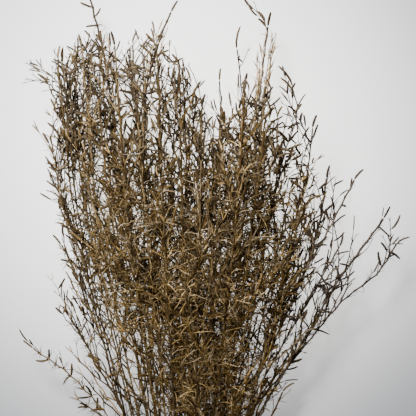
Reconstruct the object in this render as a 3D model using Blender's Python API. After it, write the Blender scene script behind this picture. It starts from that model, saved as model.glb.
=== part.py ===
"""A bunch of dried chilli grass, laid down: cut stems with side branches, slender pods and
narrow dried leaves, held near their cut ends by a rubber band.

Metres, +Z up. The bunch lies along +Y with its tips towards +Y, on the plane z = 0.
"""
import math
import random

import bmesh
import bpy
from mathutils import Matrix, Vector

MM = 0.001

# The stems, packed side by side in the band
STEM_COUNT = 42
STEM_RADIUS = 1.25 * MM
STEM_TIP_RADIUS = 0.45 * MM
STEM_SIDES = 4
STEM_PITCH = 2.92 * MM
BUNDLE_OVAL = 1.25
CUT_LENGTH = 78.0 * MM
CUT_STAGGER = 7.0 * MM
STEM_STATIONS = [60.0 * MM, 140.0 * MM, 230.0 * MM, 325.0 * MM, 420.0 * MM]

# How the bunch opens from the band to its head
BAND_RUN = 8.0 * MM
OPEN_LENGTH = 500.0 * MM
OPEN_POWER = 1.4
OPEN_WIDTH = 112.0 * MM
OPEN_DEPTH = 60.0 * MM
CUT_FLARE = 0.55
HEAD_REACH = 560.0 * MM
LEAN = 5.0 * MM
SIDE_FLARE = 0.15
SLOT_DRIFT = 0.12
LONG_WAVE = 380.0 * MM
SHORT_WAVE = 210.0 * MM
LONG_SWAY = 6.0 * MM
SHORT_SWAY = 2.2 * MM
CALMING = (1.0, 0.6, 0.3, 0.0)

# Top edge of the head: distance across and distance past the band
CROWN = [(-0.130, 0.575), (-0.110, 0.590), (-0.075, 0.585), (-0.035, 0.590), (0.000, 0.575),
         (0.015, 0.530), (0.045, 0.520), (0.060, 0.545), (0.090, 0.535), (0.115, 0.505),
         (0.140, 0.460), (0.175, 0.425), (0.205, 0.390)]
CROWN_DROP = 65.0 * MM
CROWN_SEARCH = 40.0 * MM
CROWN_STEP = 5.0 * MM
LAST_STATION_GAP = 40.0 * MM

# Side branches, each ending in a pod
BRANCH_COUNT = 6
BRANCH_SIDES = 3
BRANCH_STEPS = 2
BRANCH_RADIUS = 0.75 * MM
ROOT_SHARE = 0.62
BRANCH_LONG = 78.0 * MM
BRANCH_SHORT = 30.0 * MM
BRANCH_FIRST = 0.32
BRANCH_LAST = 0.93
BRANCH_ANGLE = (math.radians(22.0), math.radians(46.0))
BRANCH_BEND = 0.45
BRANCH_TAPER = 0.3
BRANCH_PLACE = (0.2, 0.8)
BRANCH_VARIETY = (0.8, 1.15)
BRANCH_SHORTER = (1.0, 0.7, 0.45)
GOLDEN_ANGLE = math.radians(137.5)

# Pods: slender, widest below the middle, drawn out to a beak
POD_COUNT = 4
POD_LENGTH = (14.0 * MM, 20.0 * MM)
POD_RADIUS = 1.35 * MM
POD_NECK = 0.5 * MM
POD_ROOT = 0.3 * MM
POD_WIDEST = 0.42
POD_ANGLE = (math.radians(30.0), math.radians(55.0))
POD_SPAN = (0.6, 0.97)

# Narrow dried leaves on the lower half of each stem
LEAF_COUNT = 2
LEAF_LENGTH = (22.0 * MM, 38.0 * MM)
LEAF_HALF_WIDTH = 1.4 * MM
LEAF_FLATNESS = 0.42
LEAF_SPAN = (110.0 * MM, 330.0 * MM)
LEAF_ANGLE = (math.radians(35.0), math.radians(70.0))
LEAF_PLACE = (0.1, 0.9)
LEAF_MIDDLE = 0.45
LEAF_CURL = 0.35
LEAF_FOOT = 0.6

# Long loose sprays that stand out of the outline: root, bends and tip, across and past the band
SPRAYS = [
    [(-0.055, 0.165), (-0.085, 0.205), (-0.120, 0.243), (-0.150, 0.262), (-0.172, 0.280)],
    [(-0.045, 0.140), (-0.083, 0.195), (-0.125, 0.223)],
    [(-0.062, 0.205), (-0.106, 0.280), (-0.130, 0.317)],
    [(-0.080, 0.270), (-0.113, 0.350), (-0.135, 0.392)],
    [(-0.096, 0.350), (-0.128, 0.430), (-0.130, 0.465), (-0.147, 0.493)],
    [(-0.068, 0.420), (-0.076, 0.510), (-0.086, 0.575), (-0.100, 0.630)],
    [(-0.040, 0.440), (-0.038, 0.530), (-0.022, 0.585), (-0.005, 0.622)],
    [(0.027, 0.400), (0.034, 0.470), (0.037, 0.525), (0.033, 0.564)],
    [(0.062, 0.400), (0.062, 0.490), (0.056, 0.560), (0.051, 0.597)],
    [(0.074, 0.390), (0.072, 0.480), (0.080, 0.560), (0.087, 0.618)],
    [(0.092, 0.400), (0.100, 0.470), (0.114, 0.505), (0.110, 0.530), (0.092, 0.545)],
    [(0.105, 0.350), (0.122, 0.440), (0.130, 0.512)],
    [(0.085, 0.240), (0.127, 0.358), (0.140, 0.410), (0.146, 0.462)],
    [(0.100, 0.290), (0.142, 0.385), (0.180, 0.458)],
    [(0.075, 0.215), (0.127, 0.320), (0.150, 0.358), (0.167, 0.390)],
    [(0.058, 0.165), (0.127, 0.285), (0.155, 0.335), (0.187, 0.378), (0.215, 0.417)],
    [(0.062, 0.200), (0.160, 0.318), (0.198, 0.345), (0.226, 0.392)],
    [(0.050, 0.140), (0.086, 0.190), (0.108, 0.240)],
]
SPRAY_RADIUS = 0.95 * MM
SPRAY_LIFTS = [0.0, 6.0 * MM, -6.0 * MM, 12.0 * MM, -12.0 * MM, 20.0 * MM, 28.0 * MM]
SPRAY_HOSTS = 6
UPPER_HOST_LEAD = 2.0 * MM

# The rubber band: three turns side by side, flat where it rests
BAND_TURNS = 3
BAND_WIDTH = 7.2 * MM
BAND_THICK = 1.2 * MM
BAND_GROOVE = 0.25 * MM
BAND_CLEAR = 0.3 * MM
BAND_FLAT = 0.35 * MM
BAND_STEPS = 30
BAND_TURN_POINTS = 3
BAND_SHARP = math.radians(40.0)

# Space kept between one stem's growth and the next
CLEAR = 0.4 * MM
CELL = 9.0 * MM
AZIMUTH_TRIES = 12

# Smallest ring of a tube, and how close two points may come before they are one
THIN = 0.1 * MM
SAME_PLACE = 0.01 * MM


def clamp(value, low, high):
    return max(low, min(high, value))


def between(table, value):
    """Reads a value from a list of (place, value) pairs, straight between its points."""
    if value <= table[0][0]:
        return table[0][1]
    for (x0, y0), (x1, y1) in zip(table, table[1:]):
        if value <= x1:
            return y0 + (y1 - y0) * (value - x0) / (x1 - x0)
    return table[-1][1]


def packed_slots():
    """Places of the stems in the band, in a honeycomb, from the middle of the oval outwards."""
    row_height = STEM_PITCH * math.sqrt(3.0) / 2.0
    reach = range(-8, 9)
    places = [((i + 0.5 * (j % 2)) * STEM_PITCH, j * row_height) for j in reach for i in reach]
    places.sort(key=lambda p: (math.hypot(p[0] / BUNDLE_OVAL, p[1]), p[0], p[1]))
    return places[:STEM_COUNT]


SLOTS = packed_slots()
BUNDLE_HALF_DEPTH = max(math.hypot(x / BUNDLE_OVAL, z) for x, z in SLOTS)
BUNDLE_HALF_WIDTH = BUNDLE_OVAL * BUNDLE_HALF_DEPTH
BAND_HOLE = BUNDLE_HALF_DEPTH + STEM_RADIUS + BAND_CLEAR
BAND_AXIS_HEIGHT = BAND_HOLE + BAND_THICK - BAND_FLAT
REST_HEIGHT = BAND_AXIS_HEIGHT - BUNDLE_HALF_DEPTH


def evened(share):
    """Turns a place across a round bundle into its place in an even row, both from -1 to 1."""
    share = clamp(share, -1.0, 1.0)
    return (math.asin(share) + share * math.sqrt(1.0 - share * share)) * 2.0 / math.pi


def opening(t):
    """Half width and half depth of the bunch at a distance t past the band."""
    if t < 0.0:
        flare = CUT_FLARE * clamp((-t - BAND_RUN) / (CUT_LENGTH - BAND_RUN), 0.0, 1.0)
        return BUNDLE_HALF_WIDTH * (1.0 + flare), BUNDLE_HALF_DEPTH
    q = clamp((t - BAND_RUN) / OPEN_LENGTH, 0.0, 1.0)
    grown = 1.0 - (1.0 - q) ** OPEN_POWER
    return BUNDLE_HALF_WIDTH + OPEN_WIDTH * grown, BUNDLE_HALF_DEPTH + OPEN_DEPTH * grown


class Stem:
    """One cut stem: where it runs, and everything that grows from it."""

    def __init__(self, number, slot):
        self.number = number
        self.rng = random.Random(1000 + number)
        self.slot = (slot[0] / BUNDLE_HALF_WIDTH, slot[1] / BUNDLE_HALF_DEPTH)
        self.drift = (self.rng.uniform(-1.0, 1.0), self.rng.uniform(-1.0, 1.0))
        self.phase = [self.rng.uniform(0.0, math.tau) for _ in range(4)]
        self.cut = -CUT_LENGTH + self.rng.uniform(0.0, CUT_STAGGER)
        self.drop = CROWN_DROP * self.rng.random() ** 2
        self.calm = 1.0
        self.parts = []

    def point(self, t):
        """Centre of the stem at a distance t past the band."""
        half_width, half_depth = opening(t)
        q = clamp((t - BAND_RUN) / OPEN_LENGTH, 0.0, 1.0)
        even = evened(self.slot[0])
        across = self.slot[0] + (even - self.slot[0]) * q + SLOT_DRIFT * self.calm * self.drift[0] * q
        height = self.slot[1] + SLOT_DRIFT * self.calm * self.drift[1] * q
        flare = 1.0 + SIDE_FLARE * max(0.0, across) ** 3 * q * q
        sway = [self.calm * q * (
            LONG_SWAY * math.sin(math.tau * t / LONG_WAVE + self.phase[2 * k])
            + SHORT_SWAY * math.sin(math.tau * t / SHORT_WAVE + self.phase[2 * k + 1]))
            for k in range(2)]
        x = across * half_width * flare - LEAN * (max(t, 0.0) / HEAD_REACH) ** 2 + sway[0]
        z = REST_HEIGHT + half_depth + height * half_depth + sway[1]
        return Vector((x, t, max(z, STEM_RADIUS + 0.5 * CLEAR)))

    def end(self):
        """How far past the band the stem reaches: up to the top edge of the head, or short of it."""
        t = HEAD_REACH + CROWN_SEARCH
        while t > between(CROWN, self.point(t).x):
            t -= CROWN_STEP
        return t - self.drop - POD_LENGTH[0]

    def radius(self, t):
        q = clamp(t / self.tip, 0.0, 1.0)
        return STEM_RADIUS + (STEM_TIP_RADIUS - STEM_RADIUS) * q

    def lay(self):
        """Joints of the stem from its cut end to its tip."""
        self.tip = self.end()
        stations = [self.cut, -BAND_RUN, BAND_RUN]
        stations += [t for t in STEM_STATIONS if t < self.tip - LAST_STATION_GAP]
        stations.append(self.tip)
        points = [self.point(t) for t in stations]
        radii = [self.radius(t) for t in stations]
        direction = (points[-1] - points[-2]).normalized()
        self.points, self.radii = pod_end(points, radii, direction, POD_LENGTH[0])
        return self.points, self.radii

    def at(self, t):
        """Point and direction on the jointed stem at a distance t past the band."""
        for low, high in zip(self.points, self.points[1:]):
            if t <= high.y:
                break
        share = clamp((t - low.y) / (high.y - low.y), 0.0, 1.0)
        return low.lerp(high, share), (high - low).normalized()


class Thicket:
    """Remembers every twig by the space it takes, so that growth of two stems stays clear."""

    def __init__(self):
        self.cells = {}

    def cells_of(self, start, end):
        steps = max(1, math.ceil((end - start).length / (0.5 * CELL)))
        found = set()
        for k in range(steps + 1):
            p = start.lerp(end, k / steps)
            found.add((math.floor(p.x / CELL), math.floor(p.y / CELL), math.floor(p.z / CELL)))
        return found

    def segments(self, points, radii):
        for (a, ra), (b, rb) in zip(zip(points, radii), zip(points[1:], radii[1:])):
            yield a, b, max(ra, rb)

    def add(self, owner, points, radii):
        for a, b, r in self.segments(points, radii):
            for cell in self.cells_of(a, b):
                self.cells.setdefault(cell, []).append((owner, a, b, r))

    def is_clear(self, owner, points, radii):
        for a, b, r in self.segments(points, radii):
            near = set()
            for x, y, z in self.cells_of(a, b):
                near.update((x + i, y + j, z + k)
                            for i in (-1, 0, 1) for j in (-1, 0, 1) for k in (-1, 0, 1))
            for cell in near:
                for other, c, d, s in self.cells.get(cell, ()):
                    if other != owner and segment_distance(a, b, c, d) < r + s + CLEAR:
                        return False
        return True


def segment_distance(a, b, c, d):
    """Shortest distance between the straight segments ab and cd."""
    u, v, w = b - a, d - c, a - c
    uu, uv, vv, uw, vw = u.dot(u), u.dot(v), v.dot(v), u.dot(w), v.dot(w)
    spread = uu * vv - uv * uv
    s = clamp((uv * vw - vv * uw) / spread, 0.0, 1.0) if spread > 1e-18 else 0.0
    t = clamp((uv * s + vw) / vv, 0.0, 1.0) if vv > 0.0 else 0.0
    s = clamp((uv * t - uw) / uu, 0.0, 1.0) if uu > 0.0 else 0.0
    return (a + u * s - c - v * t).length


def side_direction(along, azimuth):
    """A direction square to a twig, turned round it by an angle."""
    level = Vector((1.0, 0.0, 0.0))
    out = (level - along * level.dot(along)).normalized()
    return Matrix.Rotation(azimuth, 3, along) @ out


def off_the_floor(point, radius):
    return Vector((point.x, point.y, max(point.z, radius)))


def pod_end(points, radii, direction, length):
    """Adds a pod to the end of a twig: a neck, the widest place and the tip of the beak."""
    widest = off_the_floor(points[-1] + direction * length * POD_WIDEST, POD_RADIUS)
    tip = off_the_floor(points[-1] + direction * length, POD_RADIUS)
    return points + [widest, tip], radii + [POD_RADIUS, 0.0]


def branch_path(stem, t, azimuth, angle, length, pod_length):
    """A branch leaves its stem at an angle, bends back to run along it and ends in a pod."""
    start, along = stem.at(t)
    direction = along * math.cos(angle) + side_direction(along, azimuth) * math.sin(angle)
    root_radius = min(BRANCH_RADIUS, ROOT_SHARE * stem.radius(t))
    points, radii = [start], [root_radius]
    for step in range(BRANCH_STEPS):
        point = off_the_floor(points[-1] + direction * length / BRANCH_STEPS, BRANCH_RADIUS)
        points.append(point)
        taper = 1.0 - BRANCH_TAPER * (step + 1) / BRANCH_STEPS
        radii.append(max(POD_NECK, root_radius * taper))
        direction = (direction + along * BRANCH_BEND).normalized()
    radii[-1] = POD_NECK
    return pod_end(points, radii, direction, pod_length)


def pod_path(start, along, azimuth, angle, length):
    """A pod that sits straight on a twig, with its neck sunk into it."""
    direction = along * math.cos(angle) + side_direction(along, azimuth) * math.sin(angle)
    return pod_end([start], [POD_ROOT], direction, length)


def leaf_path(stem, t, azimuth, angle, length):
    """A narrow leaf: out from its stem, widest at a third, curled back at its tip."""
    start, along = stem.at(t)
    out = side_direction(along, azimuth)
    direction = along * math.cos(angle) + out * math.sin(angle)
    middle = off_the_floor(start + direction * length * LEAF_MIDDLE, LEAF_HALF_WIDTH)
    inwards = (direction - out * LEAF_CURL).normalized()
    tip = off_the_floor(middle + inwards * length * (1.0 - LEAF_MIDDLE), LEAF_HALF_WIDTH)
    return [start, middle, tip], [LEAF_FOOT * LEAF_HALF_WIDTH, LEAF_HALF_WIDTH, 0.0]


def grow(thicket, stem, kind, make_path, azimuth):
    """Turns a new twig round its stem until it is clear of the other stems, then keeps it."""
    for turn in range(AZIMUTH_TRIES):
        points, radii = make_path(azimuth + turn * math.tau / AZIMUTH_TRIES)
        if thicket.is_clear(stem.number, points, radii):
            thicket.add(stem.number, points, radii)
            stem.parts.append((kind, points, radii))
            return True
    return False


def grow_spray(thicket, stems, route):
    """A long loose spray: it leaves the nearest stem and follows its route out of the head."""
    places = [Vector((x, y, 0.0)) for x, y in route]

    def gap(stem):
        return abs(stem.point(places[0].y).x - places[0].x) - UPPER_HOST_LEAD * stem.slot[1]

    hosts = sorted((s for s in stems if s.tip > places[0].y + POD_LENGTH[1]), key=gap)
    for stem in hosts[:SPRAY_HOSTS]:
        start, _ = stem.at(places[0].y)
        for lift in SPRAY_LIFTS:
            points = [start]
            for k, place in enumerate(places[1:], start=1):
                level = start.z + lift * k / (len(places) - 1)
                points.append(off_the_floor(Vector((place.x, place.y, level)), POD_RADIUS))
            direction = (points[-1] - points[-2]).normalized()
            points[-1] = points[-1] - direction * POD_LENGTH[1]
            root_radius = min(SPRAY_RADIUS, ROOT_SHARE * stem.radius(places[0].y))
            radii = [root_radius] * (len(points) - 1) + [POD_NECK]
            pod_points, pod_radii = pod_end(points, radii, direction, POD_LENGTH[1])
            if thicket.is_clear(stem.number, pod_points, pod_radii):
                thicket.add(stem.number, pod_points, pod_radii)
                stem.parts.append(("spray", pod_points, pod_radii))
                return stem
    return None


def grow_bunch():
    """Lays the stems, then the loose sprays, then branches, pods and leaves, stem by stem."""
    thicket = Thicket()
    stems = []
    for number, slot in enumerate(SLOTS, start=1):
        stem = Stem(number, slot)
        for calm in CALMING:
            stem.calm = calm
            points, radii = stem.lay()
            if thicket.is_clear(number, points, radii):
                break
        thicket.add(number, points, radii)
        stems.append(stem)
    for route in SPRAYS:
        grow_spray(thicket, stems, route)
    for stem in stems:
        grow_branches(thicket, stem)
    for stem in stems:
        grow_pods(thicket, stem)
        grow_leaves(thicket, stem)
    return stems


def grow_branches(thicket, stem):
    rng = stem.rng
    azimuth = rng.uniform(0.0, math.tau)
    for k in range(BRANCH_COUNT):
        share = (k + rng.uniform(*BRANCH_PLACE)) / BRANCH_COUNT
        t = stem.tip * (BRANCH_FIRST + (BRANCH_LAST - BRANCH_FIRST) * share)
        length = BRANCH_LONG + (BRANCH_SHORT - BRANCH_LONG) * share
        length *= rng.uniform(*BRANCH_VARIETY)
        angle = rng.uniform(*BRANCH_ANGLE)
        pod_length = rng.uniform(*POD_LENGTH)
        azimuth += GOLDEN_ANGLE
        for shorter in BRANCH_SHORTER:
            def make(turn, size=length * shorter):
                return branch_path(stem, t, turn, angle, size, pod_length)
            if grow(thicket, stem, "branch", make, azimuth):
                break


def grow_pods(thicket, stem):
    """Single pods on the stem's upper half and on the middle of its branches."""
    rng = stem.rng
    branches = [part for part in stem.parts if part[0] in ("branch", "spray")]
    for k in range(POD_COUNT):
        length = rng.uniform(*POD_LENGTH)
        angle = rng.uniform(*POD_ANGLE)
        azimuth = rng.uniform(0.0, math.tau)
        if k % 2 == 0 or not branches:
            start, along = stem.at(stem.tip * rng.uniform(*POD_SPAN))
        else:
            points = branches[(k // 2) % len(branches)][1]
            start = points[1]
            along = (points[2] - points[0]).normalized()
        def make(turn):
            return pod_path(start, along, turn, angle, length)
        grow(thicket, stem, "pod", make, azimuth)


def grow_leaves(thicket, stem):
    rng = stem.rng
    for k in range(LEAF_COUNT):
        share = (k + rng.uniform(*LEAF_PLACE)) / LEAF_COUNT
        t = LEAF_SPAN[0] + (LEAF_SPAN[1] - LEAF_SPAN[0]) * share
        length = rng.uniform(*LEAF_LENGTH)
        angle = rng.uniform(*LEAF_ANGLE)
        azimuth = rng.uniform(0.0, math.tau)
        def make(turn):
            return leaf_path(stem, t, turn, angle, length)
        grow(thicket, stem, "leaf", make, azimuth)


def ring_frames(points, radii, flat):
    """A placing matrix for each ring of a tube. The rings stay parallel, so its sides are flat."""
    along = (points[-1] - points[0]).normalized()
    across = along.orthogonal().normalized()
    turn = Matrix((across, along.cross(across), along)).transposed().to_4x4()
    for point, radius in zip(points, radii):
        size = Matrix.Diagonal((radius, radius * flat, 1.0, 1.0))
        yield Matrix.Translation(point) @ turn @ size


def tube(name, points, radii, sides, flat=1.0):
    """A closed tube along points. A last radius of zero draws its end to a point."""
    frames = list(ring_frames(points, [max(r, THIN) for r in radii], flat))
    bm = bmesh.new()
    bmesh.ops.create_circle(bm, cap_ends=False, segments=sides, radius=1.0, matrix=frames[0])
    rim = bm.edges[:]
    bmesh.ops.contextual_create(bm, geom=rim)
    for before, after in zip(frames, frames[1:]):
        grown = bmesh.ops.extrude_edge_only(bm, edges=rim)["geom"]
        rim = [item for item in grown if isinstance(item, bmesh.types.BMEdge)]
        ring = [item for item in grown if isinstance(item, bmesh.types.BMVert)]
        bmesh.ops.transform(bm, matrix=after @ before.inverted(), verts=ring)
    if radii[-1] == 0.0:
        bmesh.ops.pointmerge(bm, verts=ring, merge_co=points[-1])
    else:
        bmesh.ops.contextual_create(bm, geom=rim)
    bmesh.ops.recalc_face_normals(bm, faces=bm.faces[:])
    return finish(name, bm)


def finish(name, bm):
    """Turns a bmesh into a mesh object of the scene."""
    mesh = bpy.data.meshes.new(name)
    bm.to_mesh(mesh)
    bm.free()
    piece = bpy.data.objects.new(name, mesh)
    bpy.context.scene.collection.objects.link(piece)
    return piece


def fuse(base, twigs):
    """Joins the twigs to their stem in one Boolean union, and removes them."""
    group = bpy.data.collections.new(base.name + "_twigs")
    bpy.context.scene.collection.children.link(group)
    for twig in twigs:
        group.objects.link(twig)
    union = base.modifiers.new("union", "BOOLEAN")
    union.operation = "UNION"
    union.operand_type = "COLLECTION"
    union.collection = group
    union.solver = "EXACT"
    graph = bpy.context.evaluated_depsgraph_get()
    joined = bpy.data.meshes.new_from_object(base.evaluated_get(graph))
    base.modifiers.clear()
    loose = base.data
    base.data = joined
    joined.name = base.name
    bpy.data.meshes.remove(loose)
    for twig in twigs:
        mesh = twig.data
        bpy.data.objects.remove(twig)
        bpy.data.meshes.remove(mesh)
    bpy.data.collections.remove(group)


def build_stem(stem, material):
    """A stem with all its twigs as one closed body."""
    name = "stem_%02d" % stem.number
    base = tube(name, stem.points, stem.radii, STEM_SIDES)
    twigs = []
    for number, (kind, points, radii) in enumerate(stem.parts):
        flat = LEAF_FLATNESS if kind == "leaf" else 1.0
        twigs.append(tube("%s_%s_%d" % (name, kind, number), points, radii, BRANCH_SIDES, flat))
    fuse(base, twigs)
    base.data.materials.clear()
    base.data.materials.append(material)
    return base


def build_band(material):
    """Three turns of rubber band in one closed ring, flat where it rests."""
    bm = bmesh.new()
    points = BAND_TURNS * BAND_TURN_POINTS
    outline = [bm.verts.new((0.0, 0.5 * BAND_WIDTH, BAND_HOLE)),
               bm.verts.new((0.0, -0.5 * BAND_WIDTH, BAND_HOLE))]
    for k in range(points + 1):
        crest = abs(math.sin(math.pi * k / BAND_TURN_POINTS))
        out = BAND_HOLE + BAND_THICK - BAND_GROOVE * (1.0 - crest)
        outline.append(bm.verts.new((0.0, BAND_WIDTH * (k / points - 0.5), out)))
    edges = [bm.edges.new(pair) for pair in zip(outline, outline[1:] + outline[:1])]
    bmesh.ops.spin(bm, geom=outline + edges, axis=(0.0, 1.0, 0.0), angle=math.tau,
                   steps=BAND_STEPS, use_merge=True)
    bmesh.ops.remove_doubles(bm, verts=bm.verts[:], dist=SAME_PLACE)
    bmesh.ops.scale(bm, vec=(BUNDLE_OVAL, 1.0, 1.0), verts=bm.verts[:])
    bmesh.ops.translate(bm, vec=(0.0, 0.0, BAND_AXIS_HEIGHT), verts=bm.verts[:])
    cut = bmesh.ops.bisect_plane(bm, geom=bm.verts[:] + bm.edges[:] + bm.faces[:],
                                 plane_co=(0.0, 0.0, 0.0), plane_no=(0.0, 0.0, 1.0),
                                 clear_inner=True)["geom_cut"]
    rim = [item for item in cut if isinstance(item, bmesh.types.BMEdge)]
    bmesh.ops.contextual_create(bm, geom=rim)
    bmesh.ops.recalc_face_normals(bm, faces=bm.faces[:])
    band = finish("band", bm)
    band.data.materials.append(material)
    band.data.shade_smooth()
    band.data.set_sharp_from_angle(angle=BAND_SHARP)
    return band


def make_material(name, colour, roughness):
    material = bpy.data.materials.new(name)
    material.use_nodes = True
    shader = material.node_tree.nodes["Principled BSDF"]
    shader.inputs["Base Color"].default_value = (*colour, 1.0)
    shader.inputs["Roughness"].default_value = roughness
    shader.inputs["Metallic"].default_value = 0.0
    return material


def centre_on_origin(pieces):
    """Moves all meshes so that the middle of the part's underside lies on the origin."""
    corners = [vertex.co for piece in pieces for vertex in piece.data.vertices]
    low = [min(c[k] for c in corners) for k in range(3)]
    high = [max(c[k] for c in corners) for k in range(3)]
    move = Matrix.Translation((-0.5 * (low[0] + high[0]), -0.5 * (low[1] + high[1]), -low[2]))
    for piece in pieces:
        piece.data.transform(move)


def clear_scene():
    for item in list(bpy.data.objects):
        bpy.data.objects.remove(item)


def main():
    clear_scene()
    browns = [make_material("dried_stem_brown", (0.16, 0.10, 0.05), 0.75),
              make_material("dried_stem_olive", (0.22, 0.16, 0.07), 0.75),
              make_material("dried_stem_straw", (0.38, 0.28, 0.13), 0.7)]
    pieces = []
    for stem in grow_bunch():
        pieces.append(build_stem(stem, browns[stem.number % len(browns)]))
    pieces.append(build_band(make_material("band_rubber", (0.55, 0.36, 0.17), 0.6)))
    centre_on_origin(pieces)


main()
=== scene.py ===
# %% [markdown]
# # A tied bunch of dried chilli grass
#
# The bunch is a few dozen cut stems held by a rubber band. Every stem is thin and woody, splits
# into side branches, and carries slender seed pods and the last crumpled leaves.
# It lies on a pale table, and the camera looks straight down on its head.
#
# The solids of the stems are already packed in the frame. This script keeps their routes and
# gives each stem its real growth: nodes, shoots, twigs, pods, leaves and threads.

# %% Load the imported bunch
import math
import random

import bmesh
import bpy
from mathutils import Matrix, Vector


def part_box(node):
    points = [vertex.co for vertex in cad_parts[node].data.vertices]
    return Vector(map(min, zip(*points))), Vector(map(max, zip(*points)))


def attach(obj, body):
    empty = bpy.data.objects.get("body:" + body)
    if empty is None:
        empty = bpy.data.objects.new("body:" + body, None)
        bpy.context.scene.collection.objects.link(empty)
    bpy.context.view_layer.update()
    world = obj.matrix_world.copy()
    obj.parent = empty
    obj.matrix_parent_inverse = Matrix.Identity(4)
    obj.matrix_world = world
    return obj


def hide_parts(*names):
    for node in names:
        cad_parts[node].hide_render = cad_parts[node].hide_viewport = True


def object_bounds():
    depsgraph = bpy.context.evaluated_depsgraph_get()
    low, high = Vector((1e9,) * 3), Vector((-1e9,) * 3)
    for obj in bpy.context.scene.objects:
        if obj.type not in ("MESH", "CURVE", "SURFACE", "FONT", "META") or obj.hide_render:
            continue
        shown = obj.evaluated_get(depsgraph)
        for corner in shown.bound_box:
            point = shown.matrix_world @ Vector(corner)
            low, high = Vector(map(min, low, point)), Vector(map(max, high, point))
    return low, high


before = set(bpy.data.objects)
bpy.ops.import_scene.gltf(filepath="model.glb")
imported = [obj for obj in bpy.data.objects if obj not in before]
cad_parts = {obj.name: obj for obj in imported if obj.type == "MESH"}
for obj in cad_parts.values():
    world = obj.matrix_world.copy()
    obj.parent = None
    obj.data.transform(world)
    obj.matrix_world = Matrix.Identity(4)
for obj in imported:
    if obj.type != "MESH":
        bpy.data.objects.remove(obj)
cad_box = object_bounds()
MM = 0.001
print("nodes:", len(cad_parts), "box:", [tuple(round(c, 3) for c in corner) for corner in cad_box])

# %% [markdown]
# ## The camera
#
# The photograph is square, and one of its pixels covers one millimetre of the bunch at half its
# depth. The bunch is cut off by the lower edge: its band lies 620 pixels down, outside the view.
# So the camera hangs over a point that can be worked out from the band's place.
# A long lens well above the bunch keeps the near and the far stems at nearly the same scale.

# %% Hang the camera over the head
# Size of the photograph and place of the band in it, in pixels
PHOTO_SIZE = 416
BAND_PIXEL = (185, 620)
PIXEL = 1.0 * MM
CAMERA_RISE = 1.25
SENSOR = 36.0


def into_scene(name, data):
    """Makes an object of a camera, a mesh or a lamp and puts it into the scene."""
    thing = bpy.data.objects.new(name, data)
    bpy.context.scene.collection.objects.link(thing)
    return thing


band_low, band_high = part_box("band")
band_x = 0.5 * (band_low.x + band_high.x)
band_y = 0.5 * (band_low.y + band_high.y)
half_height = 0.5 * (cad_box[0][2] + cad_box[1][2])
view_centre = Vector((band_x + (PHOTO_SIZE / 2 - BAND_PIXEL[0]) * PIXEL,
                      band_y + (BAND_PIXEL[1] - PHOTO_SIZE / 2) * PIXEL, half_height))

camera_data = bpy.data.cameras.new("overhead_camera")
camera_data.sensor_width = SENSOR
camera_data.lens = SENSOR * CAMERA_RISE / (PHOTO_SIZE * PIXEL)
camera = into_scene("overhead_camera", camera_data)
camera.location = view_centre + Vector((0.0, 0.0, CAMERA_RISE))
bpy.context.scene.camera = camera
print("camera at", tuple(round(c, 3) for c in camera.location), "lens", round(camera_data.lens, 1))

# %% [markdown]
# ## Where the stems run
#
# A bunch has a simple order. In the band the stems are packed like a honeycomb. Past it they
# spread like a fan, and each keeps its place among its neighbours: a stem on the left of the
# band ends on the left of the head. The rule below is the one that the solids were made with,
# so its stems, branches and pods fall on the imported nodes. Its lengths are in metres.
# Drawing every stem by hand would take days. A rule with seeded random numbers gives the same
# natural disorder on every run.

# %% Places in the band
# The stems, packed side by side in the band
STEM_COUNT = 42
STEM_RADIUS = 1.25 * MM
STEM_TIP_RADIUS = 0.45 * MM
STEM_PITCH = 2.92 * MM
BUNDLE_OVAL = 1.25
SLOT_SEARCH = 8
CUT_LENGTH = 78.0 * MM
CUT_STAGGER = 7.0 * MM
STEM_STATIONS = [60.0 * MM, 140.0 * MM, 230.0 * MM, 325.0 * MM, 420.0 * MM]

# The rubber band: three turns side by side, flat where it rests
BAND_TURNS = 3
BAND_THICK = 1.2 * MM
BAND_CLEAR = 0.3 * MM
BAND_FLAT = 0.35 * MM


def clamp(value, low, high):
    """The value, or the end of the span that it is beyond."""
    return max(low, min(high, value))


def between(table, value):
    """Reads a value from a list of (place, value) pairs, straight between its points."""
    if value <= table[0][0]:
        return table[0][1]
    for (x0, y0), (x1, y1) in zip(table, table[1:]):
        if value <= x1:
            return y0 + (y1 - y0) * (value - x0) / (x1 - x0)
    return table[-1][1]


def packed_slots():
    """Places of the stems in the band, in a honeycomb, from the middle of the oval outwards."""
    row_height = STEM_PITCH * math.sqrt(3.0) / 2.0
    reach = range(-SLOT_SEARCH, SLOT_SEARCH + 1)
    places = [((i + 0.5 * (j % 2)) * STEM_PITCH, j * row_height) for j in reach for i in reach]
    places.sort(key=lambda p: (math.hypot(p[0] / BUNDLE_OVAL, p[1]), p[0], p[1]))
    return places[:STEM_COUNT]


SLOTS = packed_slots()
BUNDLE_HALF_DEPTH = max(math.hypot(x / BUNDLE_OVAL, z) for x, z in SLOTS)
BUNDLE_HALF_WIDTH = BUNDLE_OVAL * BUNDLE_HALF_DEPTH
BAND_HOLE = BUNDLE_HALF_DEPTH + STEM_RADIUS + BAND_CLEAR
BAND_AXIS_HEIGHT = BAND_HOLE + BAND_THICK - BAND_FLAT
REST_HEIGHT = BAND_AXIS_HEIGHT - BUNDLE_HALF_DEPTH

# %% The opening fan
# How the bunch opens from the band to its head
BAND_RUN = 8.0 * MM
OPEN_LENGTH = 500.0 * MM
OPEN_POWER = 1.4
OPEN_WIDTH = 112.0 * MM
OPEN_DEPTH = 60.0 * MM
CUT_FLARE = 0.55
HEAD_REACH = 560.0 * MM
LEAN = 5.0 * MM
SIDE_FLARE = 0.15


def evened(share):
    """Turns a place across a round bundle into its place in an even row, both from -1 to 1."""
    share = clamp(share, -1.0, 1.0)
    return (math.asin(share) + share * math.sqrt(1.0 - share * share)) * 2.0 / math.pi


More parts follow.
